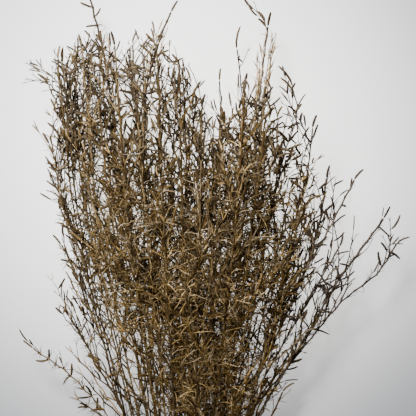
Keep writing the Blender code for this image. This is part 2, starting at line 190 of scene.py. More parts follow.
def opening(t):
    """Half width and half depth of the bunch at a distance t past the band."""
    if t < 0.0:
        flare = CUT_FLARE * clamp((-t - BAND_RUN) / (CUT_LENGTH - BAND_RUN), 0.0, 1.0)
        return BUNDLE_HALF_WIDTH * (1.0 + flare), BUNDLE_HALF_DEPTH
    q = clamp((t - BAND_RUN) / OPEN_LENGTH, 0.0, 1.0)
    grown = 1.0 - (1.0 - q) ** OPEN_POWER
    return BUNDLE_HALF_WIDTH + OPEN_WIDTH * grown, BUNDLE_HALF_DEPTH + OPEN_DEPTH * grown


print("stems in the band:", len(SLOTS), "half width in mm:", round(BUNDLE_HALF_WIDTH / MM, 1))

# %% [markdown]
# ## One stem, and the thicket that keeps its neighbours clear
#
# A stem is a class, because it has a place, its own random numbers and a list of what grows on
# it. The thicket remembers each twig as a few fat line segments in a grid of small cells. A new
# twig is tested against the segments in the cells around it, which is far quicker than a test
# of whole meshes, and is turned round its stem until it is clear.

# %% A stem
ROUTE_SEED = 1000

# Least distance from its last joint to its tip
LAST_STATION_GAP = 40.0 * MM

# How far a stem strays from its place: once for its whole length, and in long and short
# waves. One that has no room is laid again, calmer each time
SLOT_DRIFT = 0.12
LONG_WAVE = 380.0 * MM
SHORT_WAVE = 210.0 * MM
LONG_SWAY = 6.0 * MM
SHORT_SWAY = 2.2 * MM
CALMING = (1.0, 0.6, 0.3, 0.0)

# Top edge of the head: distance across and distance past the band
CROWN = [(-0.130, 0.575), (-0.110, 0.590), (-0.075, 0.585), (-0.035, 0.590), (0.000, 0.575),
         (0.015, 0.530), (0.045, 0.520), (0.060, 0.545), (0.090, 0.535), (0.115, 0.505),
         (0.140, 0.460), (0.175, 0.425), (0.205, 0.390)]

# How far below it a stem may end, and how its end is looked for
CROWN_DROP = 65.0 * MM
CROWN_SEARCH = 40.0 * MM
CROWN_STEP = 5.0 * MM


class Stem:
    """One cut stem: where it runs, and everything that grows from it."""

    def __init__(self, number, slot):
        self.number = number
        self.rng = random.Random(ROUTE_SEED + number)
        self.slot = (slot[0] / BUNDLE_HALF_WIDTH, slot[1] / BUNDLE_HALF_DEPTH)
        self.drift = (self.rng.uniform(-1.0, 1.0), self.rng.uniform(-1.0, 1.0))
        self.phase = [self.rng.uniform(0.0, math.tau) for _ in range(4)]
        self.cut = -CUT_LENGTH + self.rng.uniform(0.0, CUT_STAGGER)
        self.drop = CROWN_DROP * self.rng.random() ** 2
        self.calm = 1.0
        self.parts = []

    def point(self, t):
        """Centre of the stem at a distance t past the band."""
        half_width, half_depth = opening(t)
        q = clamp((t - BAND_RUN) / OPEN_LENGTH, 0.0, 1.0)
        even = evened(self.slot[0])
        across = self.slot[0] + (even - self.slot[0]) * q + SLOT_DRIFT * self.calm * self.drift[0] * q
        height = self.slot[1] + SLOT_DRIFT * self.calm * self.drift[1] * q
        flare = 1.0 + SIDE_FLARE * max(0.0, across) ** 3 * q * q
        sway = [self.calm * q * (
            LONG_SWAY * math.sin(math.tau * t / LONG_WAVE + self.phase[2 * k])
            + SHORT_SWAY * math.sin(math.tau * t / SHORT_WAVE + self.phase[2 * k + 1]))
            for k in range(2)]
        x = across * half_width * flare - LEAN * (max(t, 0.0) / HEAD_REACH) ** 2 + sway[0]
        z = REST_HEIGHT + half_depth + height * half_depth + sway[1]
        return Vector((x, t, max(z, STEM_RADIUS + 0.5 * CLEAR)))

    def end(self):
        """How far past the band the stem reaches: up to the top edge of the head, or short of it."""
        t = HEAD_REACH + CROWN_SEARCH
        while t > between(CROWN, self.point(t).x):
            t -= CROWN_STEP
        return t - self.drop - POD_LENGTH[0]

    def radius(self, t):
        """Radius of the stem at a distance t past the band."""
        q = clamp(t / self.tip, 0.0, 1.0)
        return STEM_RADIUS + (STEM_TIP_RADIUS - STEM_RADIUS) * q

    def lay(self):
        """Joints of the stem from its cut end to its tip."""
        self.tip = self.end()
        stations = [self.cut, -BAND_RUN, BAND_RUN]
        stations += [t for t in STEM_STATIONS if t < self.tip - LAST_STATION_GAP]
        stations.append(self.tip)
        points = [self.point(t) for t in stations]
        radii = [self.radius(t) for t in stations]
        direction = (points[-1] - points[-2]).normalized()
        self.points, self.radii = pod_end(points, radii, direction, POD_LENGTH[0])
        return self.points, self.radii

    def at(self, t):
        """Point and direction on the jointed stem at a distance t past the band."""
        for low, high in zip(self.points, self.points[1:]):
            if t <= high.y:
                break
        share = clamp((t - low.y) / (high.y - low.y), 0.0, 1.0)
        return low.lerp(high, share), (high - low).normalized()


# %% The thicket
# Space kept between one stem's growth and the next, and the size of a cell of the grid
CLEAR = 0.4 * MM
CELL = 9.0 * MM
NEARLY_PARALLEL = 1e-18


class Thicket:
    """Remembers every twig by the space it takes, so that growth of two stems stays clear."""

    def __init__(self):
        self.cells = {}

    def cells_of(self, start, end):
        """The cells that a straight segment passes."""
        steps = max(1, math.ceil((end - start).length / (0.5 * CELL)))
        found = set()
        for k in range(steps + 1):
            p = start.lerp(end, k / steps)
            found.add((math.floor(p.x / CELL), math.floor(p.y / CELL), math.floor(p.z / CELL)))
        return found

    def segments(self, points, radii):
        """The straight lengths of a route, each with its larger radius."""
        for (a, ra), (b, rb) in zip(zip(points, radii), zip(points[1:], radii[1:])):
            yield a, b, max(ra, rb)

    def add(self, owner, points, radii):
        """Remembers a route as the growth of its owner."""
        for a, b, r in self.segments(points, radii):
            for cell in self.cells_of(a, b):
                self.cells.setdefault(cell, []).append((owner, a, b, r))

    def is_clear(self, owner, points, radii):
        """Whether a route keeps its distance from the growth of all other owners."""
        for a, b, r in self.segments(points, radii):
            near = set()
            for x, y, z in self.cells_of(a, b):
                near.update((x + i, y + j, z + k)
                            for i in (-1, 0, 1) for j in (-1, 0, 1) for k in (-1, 0, 1))
            for cell in near:
                for other, c, d, s in self.cells.get(cell, ()):
                    if other != owner and segment_distance(a, b, c, d) < r + s + CLEAR:
                        return False
        return True


def segment_distance(a, b, c, d):
    """Shortest distance between the straight segments ab and cd."""
    u, v, w = b - a, d - c, a - c
    uu, uv, vv, uw, vw = u.dot(u), u.dot(v), v.dot(v), u.dot(w), v.dot(w)
    spread = uu * vv - uv * uv
    s = clamp((uv * vw - vv * uw) / spread, 0.0, 1.0) if spread > NEARLY_PARALLEL else 0.0
    t = clamp((uv * s + vw) / vv, 0.0, 1.0) if vv > 0.0 else 0.0
    s = clamp((uv * t - uw) / uu, 0.0, 1.0) if uu > 0.0 else 0.0
    return (a + u * s - c - v * t).length


# %% [markdown]
# ## Branches, pods, leaves and loose sprays
#
# What leaves a stem is a route of a few points with a radius at each: a branch bends back to
# run along its stem, a pod sits straight on a twig, a leaf curls back. The long sprays that
# shape the outline of the real bunch can't be left to chance, so their routes are given as a
# list of points. The growth is laid in a fixed order, stems first, because what is
# laid first takes its place and the rest has to stay clear of it.

# %% Room for a twig
# Places round a stem that are tried for a twig
AZIMUTH_TRIES = 12


def side_direction(along, azimuth):
    """A direction square to a twig, turned round it by an angle."""
    level = Vector((1.0, 0.0, 0.0))
    out = (level - along * level.dot(along)).normalized()
    return Matrix.Rotation(azimuth, 3, along) @ out


def off_the_floor(point, radius):
    """Lifts a point, where it has to, until a twig of this radius rests on the table."""
    return Vector((point.x, point.y, max(point.z, radius)))


def grow(thicket, stem, kind, make_path, azimuth):
    """Turns a new twig round its stem until it is clear of the other stems, then keeps it."""
    for turn in range(AZIMUTH_TRIES):
        points, radii = make_path(azimuth + turn * math.tau / AZIMUTH_TRIES)
        if thicket.is_clear(stem.number, points, radii):
            thicket.add(stem.number, points, radii)
            stem.parts.append((kind, points, radii))
            return True
    return False


# %% Pods of the routes
# Pods: slender, widest below the middle, drawn out to a beak
POD_COUNT = 4
POD_LENGTH = (14.0 * MM, 20.0 * MM)
POD_RADIUS = 1.35 * MM
POD_NECK = 0.5 * MM
POD_ROOT = 0.3 * MM
POD_WIDEST = 0.42
POD_ANGLE = (math.radians(30.0), math.radians(55.0))
POD_SPAN = (0.6, 0.97)


def pod_end(points, radii, direction, length):
    """Adds a pod to the end of a twig: a neck, the widest place and the tip of the beak."""
    widest = off_the_floor(points[-1] + direction * length * POD_WIDEST, POD_RADIUS)
    tip = off_the_floor(points[-1] + direction * length, POD_RADIUS)
    return points + [widest, tip], radii + [POD_RADIUS, 0.0]


def pod_path(start, along, azimuth, angle, length):
    """A pod that sits straight on a twig, with its neck sunk into it."""
    direction = along * math.cos(angle) + side_direction(along, azimuth) * math.sin(angle)
    return pod_end([start], [POD_ROOT], direction, length)


def grow_pods(thicket, stem):
    """Single pods on the stem's upper part and on the middle of its branches."""
    rng = stem.rng
    branches = [part for part in stem.parts if part[0] in ("branch", "spray")]
    for k in range(POD_COUNT):
        length = rng.uniform(*POD_LENGTH)
        angle = rng.uniform(*POD_ANGLE)
        azimuth = rng.uniform(0.0, math.tau)
        if k % 2 == 0 or not branches:
            start, along = stem.at(stem.tip * rng.uniform(*POD_SPAN))
        else:
            points = branches[(k // 2) % len(branches)][1]
            start = points[1]
            along = (points[2] - points[0]).normalized()
        def make(turn):
            return pod_path(start, along, turn, angle, length)
        grow(thicket, stem, "pod", make, azimuth)


# %% Branches of the routes
# Side branches, each ending in a pod
BRANCH_COUNT = 6
BRANCH_STEPS = 2
BRANCH_RADIUS = 0.75 * MM
ROOT_SHARE = 0.62
BRANCH_LONG = 78.0 * MM
BRANCH_SHORT = 30.0 * MM
BRANCH_FIRST = 0.32
BRANCH_LAST = 0.93
BRANCH_ANGLE = (math.radians(22.0), math.radians(46.0))
BRANCH_BEND = 0.45
BRANCH_TAPER = 0.3
BRANCH_PLACE = (0.2, 0.8)
BRANCH_VARIETY = (0.8, 1.15)
BRANCH_SHORTER = (1.0, 0.7, 0.45)
GOLDEN_ANGLE = math.radians(137.5)


def branch_path(stem, t, azimuth, angle, length, pod_length):
    """A branch leaves its stem at an angle, bends back to run along it and ends in a pod."""
    start, along = stem.at(t)
    direction = along * math.cos(angle) + side_direction(along, azimuth) * math.sin(angle)
    root_radius = min(BRANCH_RADIUS, ROOT_SHARE * stem.radius(t))
    points, radii = [start], [root_radius]
    for step in range(BRANCH_STEPS):
        point = off_the_floor(points[-1] + direction * length / BRANCH_STEPS, BRANCH_RADIUS)
        points.append(point)
        taper = 1.0 - BRANCH_TAPER * (step + 1) / BRANCH_STEPS
        radii.append(max(POD_NECK, root_radius * taper))
        direction = (direction + along * BRANCH_BEND).normalized()
    radii[-1] = POD_NECK
    return pod_end(points, radii, direction, pod_length)


def grow_branches(thicket, stem):
    """Side branches up a stem, each turned on by the golden angle, shorter towards its tip."""
    rng = stem.rng
    azimuth = rng.uniform(0.0, math.tau)
    for k in range(BRANCH_COUNT):
        share = (k + rng.uniform(*BRANCH_PLACE)) / BRANCH_COUNT
        t = stem.tip * (BRANCH_FIRST + (BRANCH_LAST - BRANCH_FIRST) * share)
        length = BRANCH_LONG + (BRANCH_SHORT - BRANCH_LONG) * share
        length *= rng.uniform(*BRANCH_VARIETY)
        angle = rng.uniform(*BRANCH_ANGLE)
        pod_length = rng.uniform(*POD_LENGTH)
        azimuth += GOLDEN_ANGLE
        for shorter in BRANCH_SHORTER:
            def make(turn, size=length * shorter):
                return branch_path(stem, t, turn, angle, size, pod_length)
            if grow(thicket, stem, "branch", make, azimuth):
                break


# %% Leaves of the routes
# Narrow dried leaves on the lower part of each stem
LEAF_COUNT = 2
LEAF_LENGTH = (22.0 * MM, 38.0 * MM)
LEAF_HALF_WIDTH = 1.4 * MM
LEAF_SPAN = (110.0 * MM, 330.0 * MM)
LEAF_ANGLE = (math.radians(35.0), math.radians(70.0))
LEAF_PLACE = (0.1, 0.9)
LEAF_MIDDLE = 0.45
LEAF_CURL = 0.35
LEAF_FOOT = 0.6


def leaf_path(stem, t, azimuth, angle, length):
    """A narrow leaf: out from its stem, widest near its middle, curled back at its tip."""
    start, along = stem.at(t)
    out = side_direction(along, azimuth)
    direction = along * math.cos(angle) + out * math.sin(angle)
    middle = off_the_floor(start + direction * length * LEAF_MIDDLE, LEAF_HALF_WIDTH)
    inwards = (direction - out * LEAF_CURL).normalized()
    tip = off_the_floor(middle + inwards * length * (1.0 - LEAF_MIDDLE), LEAF_HALF_WIDTH)
    return [start, middle, tip], [LEAF_FOOT * LEAF_HALF_WIDTH, LEAF_HALF_WIDTH, 0.0]


def grow_leaves(thicket, stem):
    """The few leaves that each stem has kept."""
    rng = stem.rng
    for k in range(LEAF_COUNT):
        share = (k + rng.uniform(*LEAF_PLACE)) / LEAF_COUNT
        t = LEAF_SPAN[0] + (LEAF_SPAN[1] - LEAF_SPAN[0]) * share
        length = rng.uniform(*LEAF_LENGTH)
        angle = rng.uniform(*LEAF_ANGLE)
        azimuth = rng.uniform(0.0, math.tau)
        def make(turn):
            return leaf_path(stem, t, turn, angle, length)
        grow(thicket, stem, "leaf", make, azimuth)


# %% The loose sprays
# Long loose sprays that stand out of the outline: root, bends and tip, across and past the band
SPRAYS = [
    [(-0.055, 0.165), (-0.085, 0.205), (-0.120, 0.243), (-0.150, 0.262), (-0.172, 0.280)],
    [(-0.045, 0.140), (-0.083, 0.195), (-0.125, 0.223)],
    [(-0.062, 0.205), (-0.106, 0.280), (-0.130, 0.317)],
    [(-0.080, 0.270), (-0.113, 0.350), (-0.135, 0.392)],
    [(-0.096, 0.350), (-0.128, 0.430), (-0.130, 0.465), (-0.147, 0.493)],
    [(-0.068, 0.420), (-0.076, 0.510), (-0.086, 0.575), (-0.100, 0.630)],
    [(-0.040, 0.440), (-0.038, 0.530), (-0.022, 0.585), (-0.005, 0.622)],
    [(0.027, 0.400), (0.034, 0.470), (0.037, 0.525), (0.033, 0.564)],
    [(0.062, 0.400), (0.062, 0.490), (0.056, 0.560), (0.051, 0.597)],
    [(0.074, 0.390), (0.072, 0.480), (0.080, 0.560), (0.087, 0.618)],
    [(0.092, 0.400), (0.100, 0.470), (0.114, 0.505), (0.110, 0.530), (0.092, 0.545)],
    [(0.105, 0.350), (0.122, 0.440), (0.130, 0.512)],
    [(0.085, 0.240), (0.127, 0.358), (0.140, 0.410), (0.146, 0.462)],
    [(0.100, 0.290), (0.142, 0.385), (0.180, 0.458)],
    [(0.075, 0.215), (0.127, 0.320), (0.150, 0.358), (0.167, 0.390)],
    [(0.058, 0.165), (0.127, 0.285), (0.155, 0.335), (0.187, 0.378), (0.215, 0.417)],
    [(0.062, 0.200), (0.160, 0.318), (0.198, 0.345), (0.226, 0.392)],
    [(0.050, 0.140), (0.086, 0.190), (0.108, 0.240)],
]
SPRAY_RADIUS = 0.95 * MM

# Heights of its tip that are tried, how many stems, and how much nearer an upper stem counts
SPRAY_LIFTS = [0.0, 6.0 * MM, -6.0 * MM, 12.0 * MM, -12.0 * MM, 20.0 * MM, 28.0 * MM]
SPRAY_HOSTS = 6
UPPER_HOST_LEAD = 2.0 * MM


def grow_spray(thicket, stems, route):
    """A long loose spray: it leaves the nearest stem and follows its route out of the head."""
    places = [Vector((x, y, 0.0)) for x, y in route]

    def gap(stem):
        return abs(stem.point(places[0].y).x - places[0].x) - UPPER_HOST_LEAD * stem.slot[1]

    hosts = sorted((s for s in stems if s.tip > places[0].y + POD_LENGTH[1]), key=gap)
    for stem in hosts[:SPRAY_HOSTS]:
        start, _ = stem.at(places[0].y)
        for lift in SPRAY_LIFTS:
            points = [start]
            for k, place in enumerate(places[1:], start=1):
                level = start.z + lift * k / (len(places) - 1)
                points.append(off_the_floor(Vector((place.x, place.y, level)), POD_RADIUS))
            direction = (points[-1] - points[-2]).normalized()
            points[-1] = points[-1] - direction * POD_LENGTH[1]
            root_radius = min(SPRAY_RADIUS, ROOT_SHARE * stem.radius(places[0].y))
            radii = [root_radius] * (len(points) - 1) + [POD_NECK]
            pod_points, pod_radii = pod_end(points, radii, direction, POD_LENGTH[1])
            if thicket.is_clear(stem.number, pod_points, pod_radii):
                thicket.add(stem.number, pod_points, pod_radii)
                stem.parts.append(("spray", pod_points, pod_radii))
                return stem
    return None


# %% Growth, stem by stem
def grow_bunch():
    """Lays the stems, then the loose sprays, then branches, pods and leaves, stem by stem."""
    thicket = Thicket()
    stems = []
    for number, slot in enumerate(SLOTS, start=1):
        stem = Stem(number, slot)
        for calm in CALMING:
            stem.calm = calm
            points, radii = stem.lay()
            if thicket.is_clear(number, points, radii):
                break
        thicket.add(number, points, radii)
        stems.append(stem)
    for route in SPRAYS:
        grow_spray(thicket, stems, route)
    for stem in stems:
        grow_branches(thicket, stem)
    for stem in stems:
        grow_pods(thicket, stem)
        grow_leaves(thicket, stem)
    return stems


stems = grow_bunch()
print("grown:", {kind: sum(part[0] == kind for stem in stems for part in stem.parts)
                 for kind in ("branch", "spray", "pod", "leaf")})

# %% [markdown]
# ## One shape for all growth: a tapering tube
#
# A twig, a pod, a leaf and a thread are the same kind of shape to a modeller: a ring that is
# carried along a path and changes its size on the way. A curve object with a bevel could do the
# round ones, but not the flat and twisted leaves. So one bmesh helper makes them all. It starts
# from a circle, extrudes its rim from ring to ring and draws the last rim to a point.
# Every tube also stores two numbers that the finishes read: tone, how light it is, and gold,
# how yellow it is, or how weathered where the number is below zero.

# %% The tube helper
BARK, POD_SKIN, LEAF_SKIN, PITH = range(4)
THINNEST = 0.05 * MM

# Sides of a tube, from the thick ones to the twigs, threads and small stalks
STEM_SIDES = 6
BRANCH_SIDES = 5
SHOOT_SIDES = 4
THIN_SIDES = 3


def tube_frames(points, radii, flat, twist):
    """A placing matrix for each ring, square to the path and turned as little as possible."""
    across = None
    for k, point in enumerate(points):
        along = (points[min(k + 1, len(points) - 1)] - points[max(k - 1, 0)]).normalized()
        if across is None:
            across = along.orthogonal()
        across = (across - along * across.dot(along)).normalized()
        if twist:
            across = Matrix.Rotation(twist, 3, along) @ across
        turn = Matrix((across, along.cross(across), along)).transposed().to_4x4()
        size = Matrix.Diagonal((radii[k], radii[k] * flat, 1.0, 1.0))
        yield Matrix.Translation(point) @ turn @ size


def carry_rim(bm, rim, frames):
    """Extrudes a rim from ring to ring, and returns the edges and corners of the last one."""
    for before, after in zip(frames, frames[1:]):
        grown = bmesh.ops.extrude_edge_only(bm, edges=rim)["geom"]
        rim = [item for item in grown if isinstance(item, bmesh.types.BMEdge)]
        ring = [item for item in grown if isinstance(item, bmesh.types.BMVert)]
        bmesh.ops.transform(bm, matrix=after @ before.inverted(), verts=ring)
    return rim, ring


def add_tube(whole, points, radii, sides, skin, shade, flat=1.0, twist=0.0):
    """Adds a closed tapering tube to the mesh of a stem. A last radius of zero gives a tip."""
    frames = list(tube_frames(points, [max(r, THINNEST) for r in radii], flat, twist))
    bm = bmesh.new()
    tone = bm.verts.layers.float.new("tone")
    gold = bm.verts.layers.float.new("gold")
    bmesh.ops.create_circle(bm, segments=sides, radius=1.0, matrix=frames[0])
    rim = bm.edges[:]
    foot = bmesh.ops.contextual_create(bm, geom=rim)["faces"][0]
    rim, ring = carry_rim(bm, rim, frames)
    if radii[-1] == 0.0:
        bmesh.ops.pointmerge(bm, verts=ring, merge_co=points[-1])
    else:
        bmesh.ops.contextual_create(bm, geom=rim)
    bmesh.ops.recalc_face_normals(bm, faces=bm.faces[:])
    for face in bm.faces:
        face.material_index = skin
        face.smooth = True
    for vertex in bm.verts:
        vertex[tone], vertex[gold] = shade
    if skin == BARK and points[0].y < 0.0:
        foot.material_index = PITH
        foot.smooth = False
    mesh = bpy.data.meshes.new("tube")
    bm.to_mesh(mesh)
    bm.free()
    whole.from_mesh(mesh)
    bpy.data.meshes.remove(mesh)


# %% [markdown]
# ## Stems and twigs with nodes
#
# A dried stem isn't a smooth rod. It grew in short lengths, each ending in a node where a twig
# left it, and at every node it turned a little the other way. So a path is cut into equal
# lengths, its corners are eased, and each joint is moved a fraction of a millimetre to one side
# and the other. A ring before and after the joint lets it swell, which catches the light.

# %% Jointed lines
EASING_ROUNDS = 2
SHORTEST = 1e-9

# Distance between the nodes of a line
STEM_GAP = 15.0 * MM
BRANCH_GAP = 9.5 * MM
SHOOT_GAP = 8.5 * MM

# How far nodes stand to the side, as a length and a share of it, and how their sides vary
STEM_ZIGZAG = 0.7 * MM
SHOOT_ZIGZAG = 0.45 * MM
ZIGZAG_STEP = (0.5, 1.3)
ZIGZAG_TURN = 0.5

# How much thicker a node is than its line, and how many radii its swelling reaches
STEM_SWELL = 1.3
TWIG_SWELL = 1.35
NODE_REACH = 1.6


def measured(points):
    """Distance of each point of a path from its start."""
    marks = [0.0]
    for a, b in zip(points, points[1:]):
        marks.append(marks[-1] + (b - a).length)
    return marks


def read_path(points, radii, marks, distance):
    """Point and radius at a distance along a path."""
    for k in range(1, len(points)):
        if distance <= marks[k] or k == len(points) - 1:
            step = max(marks[k] - marks[k - 1], SHORTEST)
            share = clamp((distance - marks[k - 1]) / step, 0.0, 1.0)
            return (points[k - 1].lerp(points[k], share),
                    radii[k - 1] + (radii[k] - radii[k - 1]) * share)


def jointed(points, radii, gap, bend, rng):
    """Nodes about every gap along a path, eased at its corners and a little zigzag past the band."""
    marks = measured(points)
    count = max(2, round(marks[-1] / gap))
    read = [read_path(points, radii, marks, marks[-1] * k / count) for k in range(count + 1)]
    nodes = [p for p, _ in read]
    for _ in range(EASING_ROUNDS):
        nodes = ([nodes[0]] + [0.25 * a + 0.5 * b + 0.25 * c
                               for a, b, c in zip(nodes, nodes[1:], nodes[2:])] + [nodes[-1]])
    azimuth = rng.uniform(0.0, math.tau)
    line = []
    for k, (node, (_, radius)) in enumerate(zip(nodes, read)):
        if 0 < k < count:
            azimuth += math.pi + rng.uniform(-ZIGZAG_TURN, ZIGZAG_TURN)
            along = (nodes[k + 1] - nodes[k - 1]).normalized()
            free = clamp(node.y / STEM_STATIONS[1], 0.0, 1.0)
            node = node + side_direction(along, azimuth) * bend * free * rng.uniform(*ZIGZAG_STEP)
        line.append((off_the_floor(node, radius), radius))
    return line


def swollen(line, swell):
    """Adds a ring before and after each inner node, so that the node stands out."""
    points, radii = [line[0][0]], [line[0][1]]
    for (before, _), (node, radius), (after, _) in zip(line, line[1:], line[2:]):
        points += [node + (before - node).normalized() * radius * NODE_REACH, node,
                   node + (after - node).normalized() * radius * NODE_REACH]
        radii += [radius, radius * swell, radius]
    points.append(line[-1][0])
    radii.append(line[-1][1])
    return points, radii


def way_out(line):
    """Last point of a jointed line, and the direction in which it ends."""
    tip, before = line[-1][0], line[-2][0]
    return tip, (tip - before).normalized()


# %% [markdown]
# ## Pods
#
# The pods give the plant its name: slender and a little bent, like tiny dry chillies. Each has a
# thin stalk, a small collar, a body that is as thick in its middle as near its ends, and a blunt
# beak. Some have split and stand open as two thin straw-coloured valves. A turned shape would be
# too regular, so the body is a tube along a shallow arc, with the widths below.

# %% Pod shapes
POD_WIDTHS = [(0.00, 0.30), (0.09, 0.30), (0.15, 0.80), (0.36, 1.00), (0.68, 0.98),
              (0.90, 0.80), (0.97, 0.42), (1.00, 0.0)]
VALVE_WIDTHS = [(0.0, 0.35), (0.25, 0.9), (0.6, 1.0), (0.85, 0.6), (1.0, 0.0)]

# Widths, slimness, number of sides, skin and flatness of what grows along an arc
POD_FORM = (POD_WIDTHS, 1.0, 5, POD_SKIN, 0.85)
HOOK_FORM = (POD_WIDTHS, 1.0, 6, POD_SKIN, 0.85)
VALVE_FORM = (VALVE_WIDTHS, 0.85, 4, LEAF_SKIN, 0.28)

POD_BOW = (0.10, 0.85)
BOW_POWER = 1.5
SPLIT_SHARE = 0.13
STALK_SHARE = 0.12
STALK_WIDTHS = (0.3, 0.45)
VALVE_SPREAD = (0.1, 0.3)
VALVE_BOW = 0.2
VALVE_LIGHTER = (0.3, 0.2)

# Pods further past the band than this are thicker by this much
CROWN_START = 0.44
CROWN_PODS = 1.22


def add_arc(whole, start, direction, towards, length, bow, radius, form, shade):
    """A tube along a shallow arc that leaves in a direction and bends towards another."""
    widths, slimness, sides, skin, flat = form
    side = (towards - direction * towards.dot(direction)).normalized()
    points = [off_the_floor(start + direction * length * s + side * bow * length * s * s, radius)
              for s, _ in widths]
    add_tube(whole, points, [radius * slimness * width for _, width in widths], sides, skin, shade,
             flat)


def add_pod(whole, start, direction, length, radius, rng, shade):
    """A closed pod, or now and then a split one. The crown has the thickest."""
    radius *= CROWN_PODS if start.y > CROWN_START else 1.0
    towards = side_direction(direction, rng.uniform(0.0, math.tau))
    if rng.random() < SPLIT_SHARE:
        add_split_pod(whole, start, direction, towards, length, radius, rng, shade)
        return
    bow = rng.uniform(*POD_BOW) ** BOW_POWER
    add_arc(whole, start, direction, towards, length, bow, radius, POD_FORM, shade)


def add_split_pod(whole, start, direction, towards, length, radius, rng, shade):
    """The two valves of a pod that has opened, on its stalk."""
    stalk_end = off_the_floor(start + direction * length * STALK_SHARE, radius)
    add_tube(whole, [start, stalk_end], [radius * width for width in STALK_WIDTHS], THIN_SIDES,
             BARK, shade)
    lighter = (shade[0] + VALVE_LIGHTER[0], shade[1] + VALVE_LIGHTER[1])
    for side in (towards, -towards):
        valve = (direction + side * rng.uniform(*VALVE_SPREAD)).normalized()
        add_arc(whole, stalk_end, valve, side, length * (1.0 - STALK_SHARE), VALVE_BOW, radius,
                VALVE_FORM, lighter)


# %% [markdown]
# ## Leaves and threads
#
# Most leaves have dropped. What is left is narrow, straw-coloured and curled, with the finest
# threads of old flower stalks among it, and it is thickest in the lower middle of the bunch.
# A flat tube with few sides that twists as it goes makes a closed blade with real thickness.

# %% Leaf and thread shapes
LEAF_WIDTHS = [0.45, 0.85, 1.0, 0.95, 0.7, 0.4, 0.0]
THREAD_WIDTHS = [1.0, 1.0, 0.9, 0.75, 0.5, 0.0]
LEAF_SIDES = 4
LEAF_THINNESS = 0.2
LEAF_TWIST = 0.6
WANDER = 0.6


def curling_path(start, direction, length, steps, curls, rng, lowest):
    """A path whose direction turns to a wandering side at each step."""
    curl = rng.uniform(*curls)
    points = [start]
    side = side_direction(direction, rng.uniform(0.0, math.tau))
    for _ in range(steps):
        side = (side + side_direction(direction, rng.uniform(0.0, math.tau)) * WANDER).normalized()
        direction = (direction + side * curl).normalized()
        points.append(off_the_floor(points[-1] + direction * length / steps, lowest))
    return points


def add_leaf(whole, start, direction, length, half_width, curls, rng, shade):
    """A narrow blade, thin across, that curls and twists."""
    points = curling_path(start, direction, length, len(LEAF_WIDTHS) - 1, curls, rng, half_width)
    add_tube(whole, points, [half_width * w for w in LEAF_WIDTHS], LEAF_SIDES, LEAF_SKIN, shade,
             LEAF_THINNESS, rng.uniform(-LEAF_TWIST, LEAF_TWIST))


def add_thread(whole, start, direction, length, radius, curls, rng, shade):
    """A thin round thread that tapers and curls."""
    points = curling_path(start, direction, length, len(THREAD_WIDTHS) - 1, curls, rng, radius)
    add_tube(whole, points, [radius * w for w in THREAD_WIDTHS], THIN_SIDES, LEAF_SKIN, shade)


# %% [markdown]
# ## Where the head ends, and where it is dense
#
# The real head is no even cloud: it is thick at its left shoulder, open on the right of its
# crown, and its threads lie low in the middle. Twigs placed by hand would follow that, but there
# are thousands. So short tables say how wide, how full, how light and how golden the bunch is,
# and everything that grows reads them at its own place. They are easy to change while looking at
# a render. Each entry is a place and a value. The place is a distance past the band where a
# table is read along the bunch, and a distance across where it is read from side to side.

# %% The edge of the head
# Its two sides: distance past the band and distance across
LEFT_EDGE = [(0.00, -0.020), (0.10, -0.035), (0.20, -0.058), (0.24, -0.066), (0.28, -0.080),
             (0.32, -0.096), (0.36, -0.113), (0.40, -0.121), (0.46, -0.128), (0.60, -0.128)]
RIGHT_EDGE = [(0.00, 0.020), (0.10, 0.045), (0.20, 0.074), (0.24, 0.083), (0.28, 0.103),
              (0.32, 0.122), (0.36, 0.135), (0.40, 0.140), (0.44, 0.140), (0.48, 0.126),
              (0.52, 0.112), (0.60, 0.110)]

# How far growth may stand out: past the crown, off a stem, off a loose spray, out of the solids
CROWN_FRINGE = 6.0 * MM
LOOSE = 7.0 * MM
SPRAY_LOOSE = 22.0 * MM
BOX_MARGIN = 8.0 * MM


def beyond_head(p):
    """How far a point stands out of the dense head."""
    return max(0.0, between(LEFT_EDGE, p.y) - p.x, p.x - between(RIGHT_EDGE, p.y),
               p.y - between(CROWN, p.x) - CROWN_FRINGE)


def inside_head(p):
    """How far a point is inside the nearer side of the head, below zero outside it."""
    return min(p.x - between(LEFT_EDGE, p.y), between(RIGHT_EDGE, p.y) - p.x)


def fits(root, tip, loose):
    """Whether growth from a root may end at a tip: little further out, and inside the box."""
    for k, shift in enumerate((band_x, band_y, 0.0)):
        place = tip[k] + shift
        if not cad_box[0][k] - BOX_MARGIN < place < cad_box[1][k] + BOX_MARGIN:
            return False
    return beyond_head(tip) <= beyond_head(root) + loose


# %% Dense and open places
# How far inside the edge all of the litter lies, and the least share of it
MIDDLE_REACH = 30.0 * MM
LEAST_LITTER = 0.12

# Along the bunch: how far its litter reaches past the right side, and extra growth on the left
RIGHT_LITTER = [(0.26, 18.0 * MM), (0.36, 0.0)]
LEFT_GROWTH = [(0.36, 0.1), (0.41, 1.3), (0.46, 1.8), (0.50, 1.2), (0.56, 1.2)]

# Extra growth in the heart of the head: how much across it, and the share of that along it
INNER_GROWTH = [(-0.09, 0.0), (-0.07, 0.65), (-0.04, 0.65), (0.0, 0.60), (0.065, 0.65),
                (0.09, 0.55), (0.12, 0.0)]
INNER_SHARE = [(0.29, 0.0), (0.33, 0.8), (0.36, 1.0), (0.42, 1.0), (0.46, 0.0)]

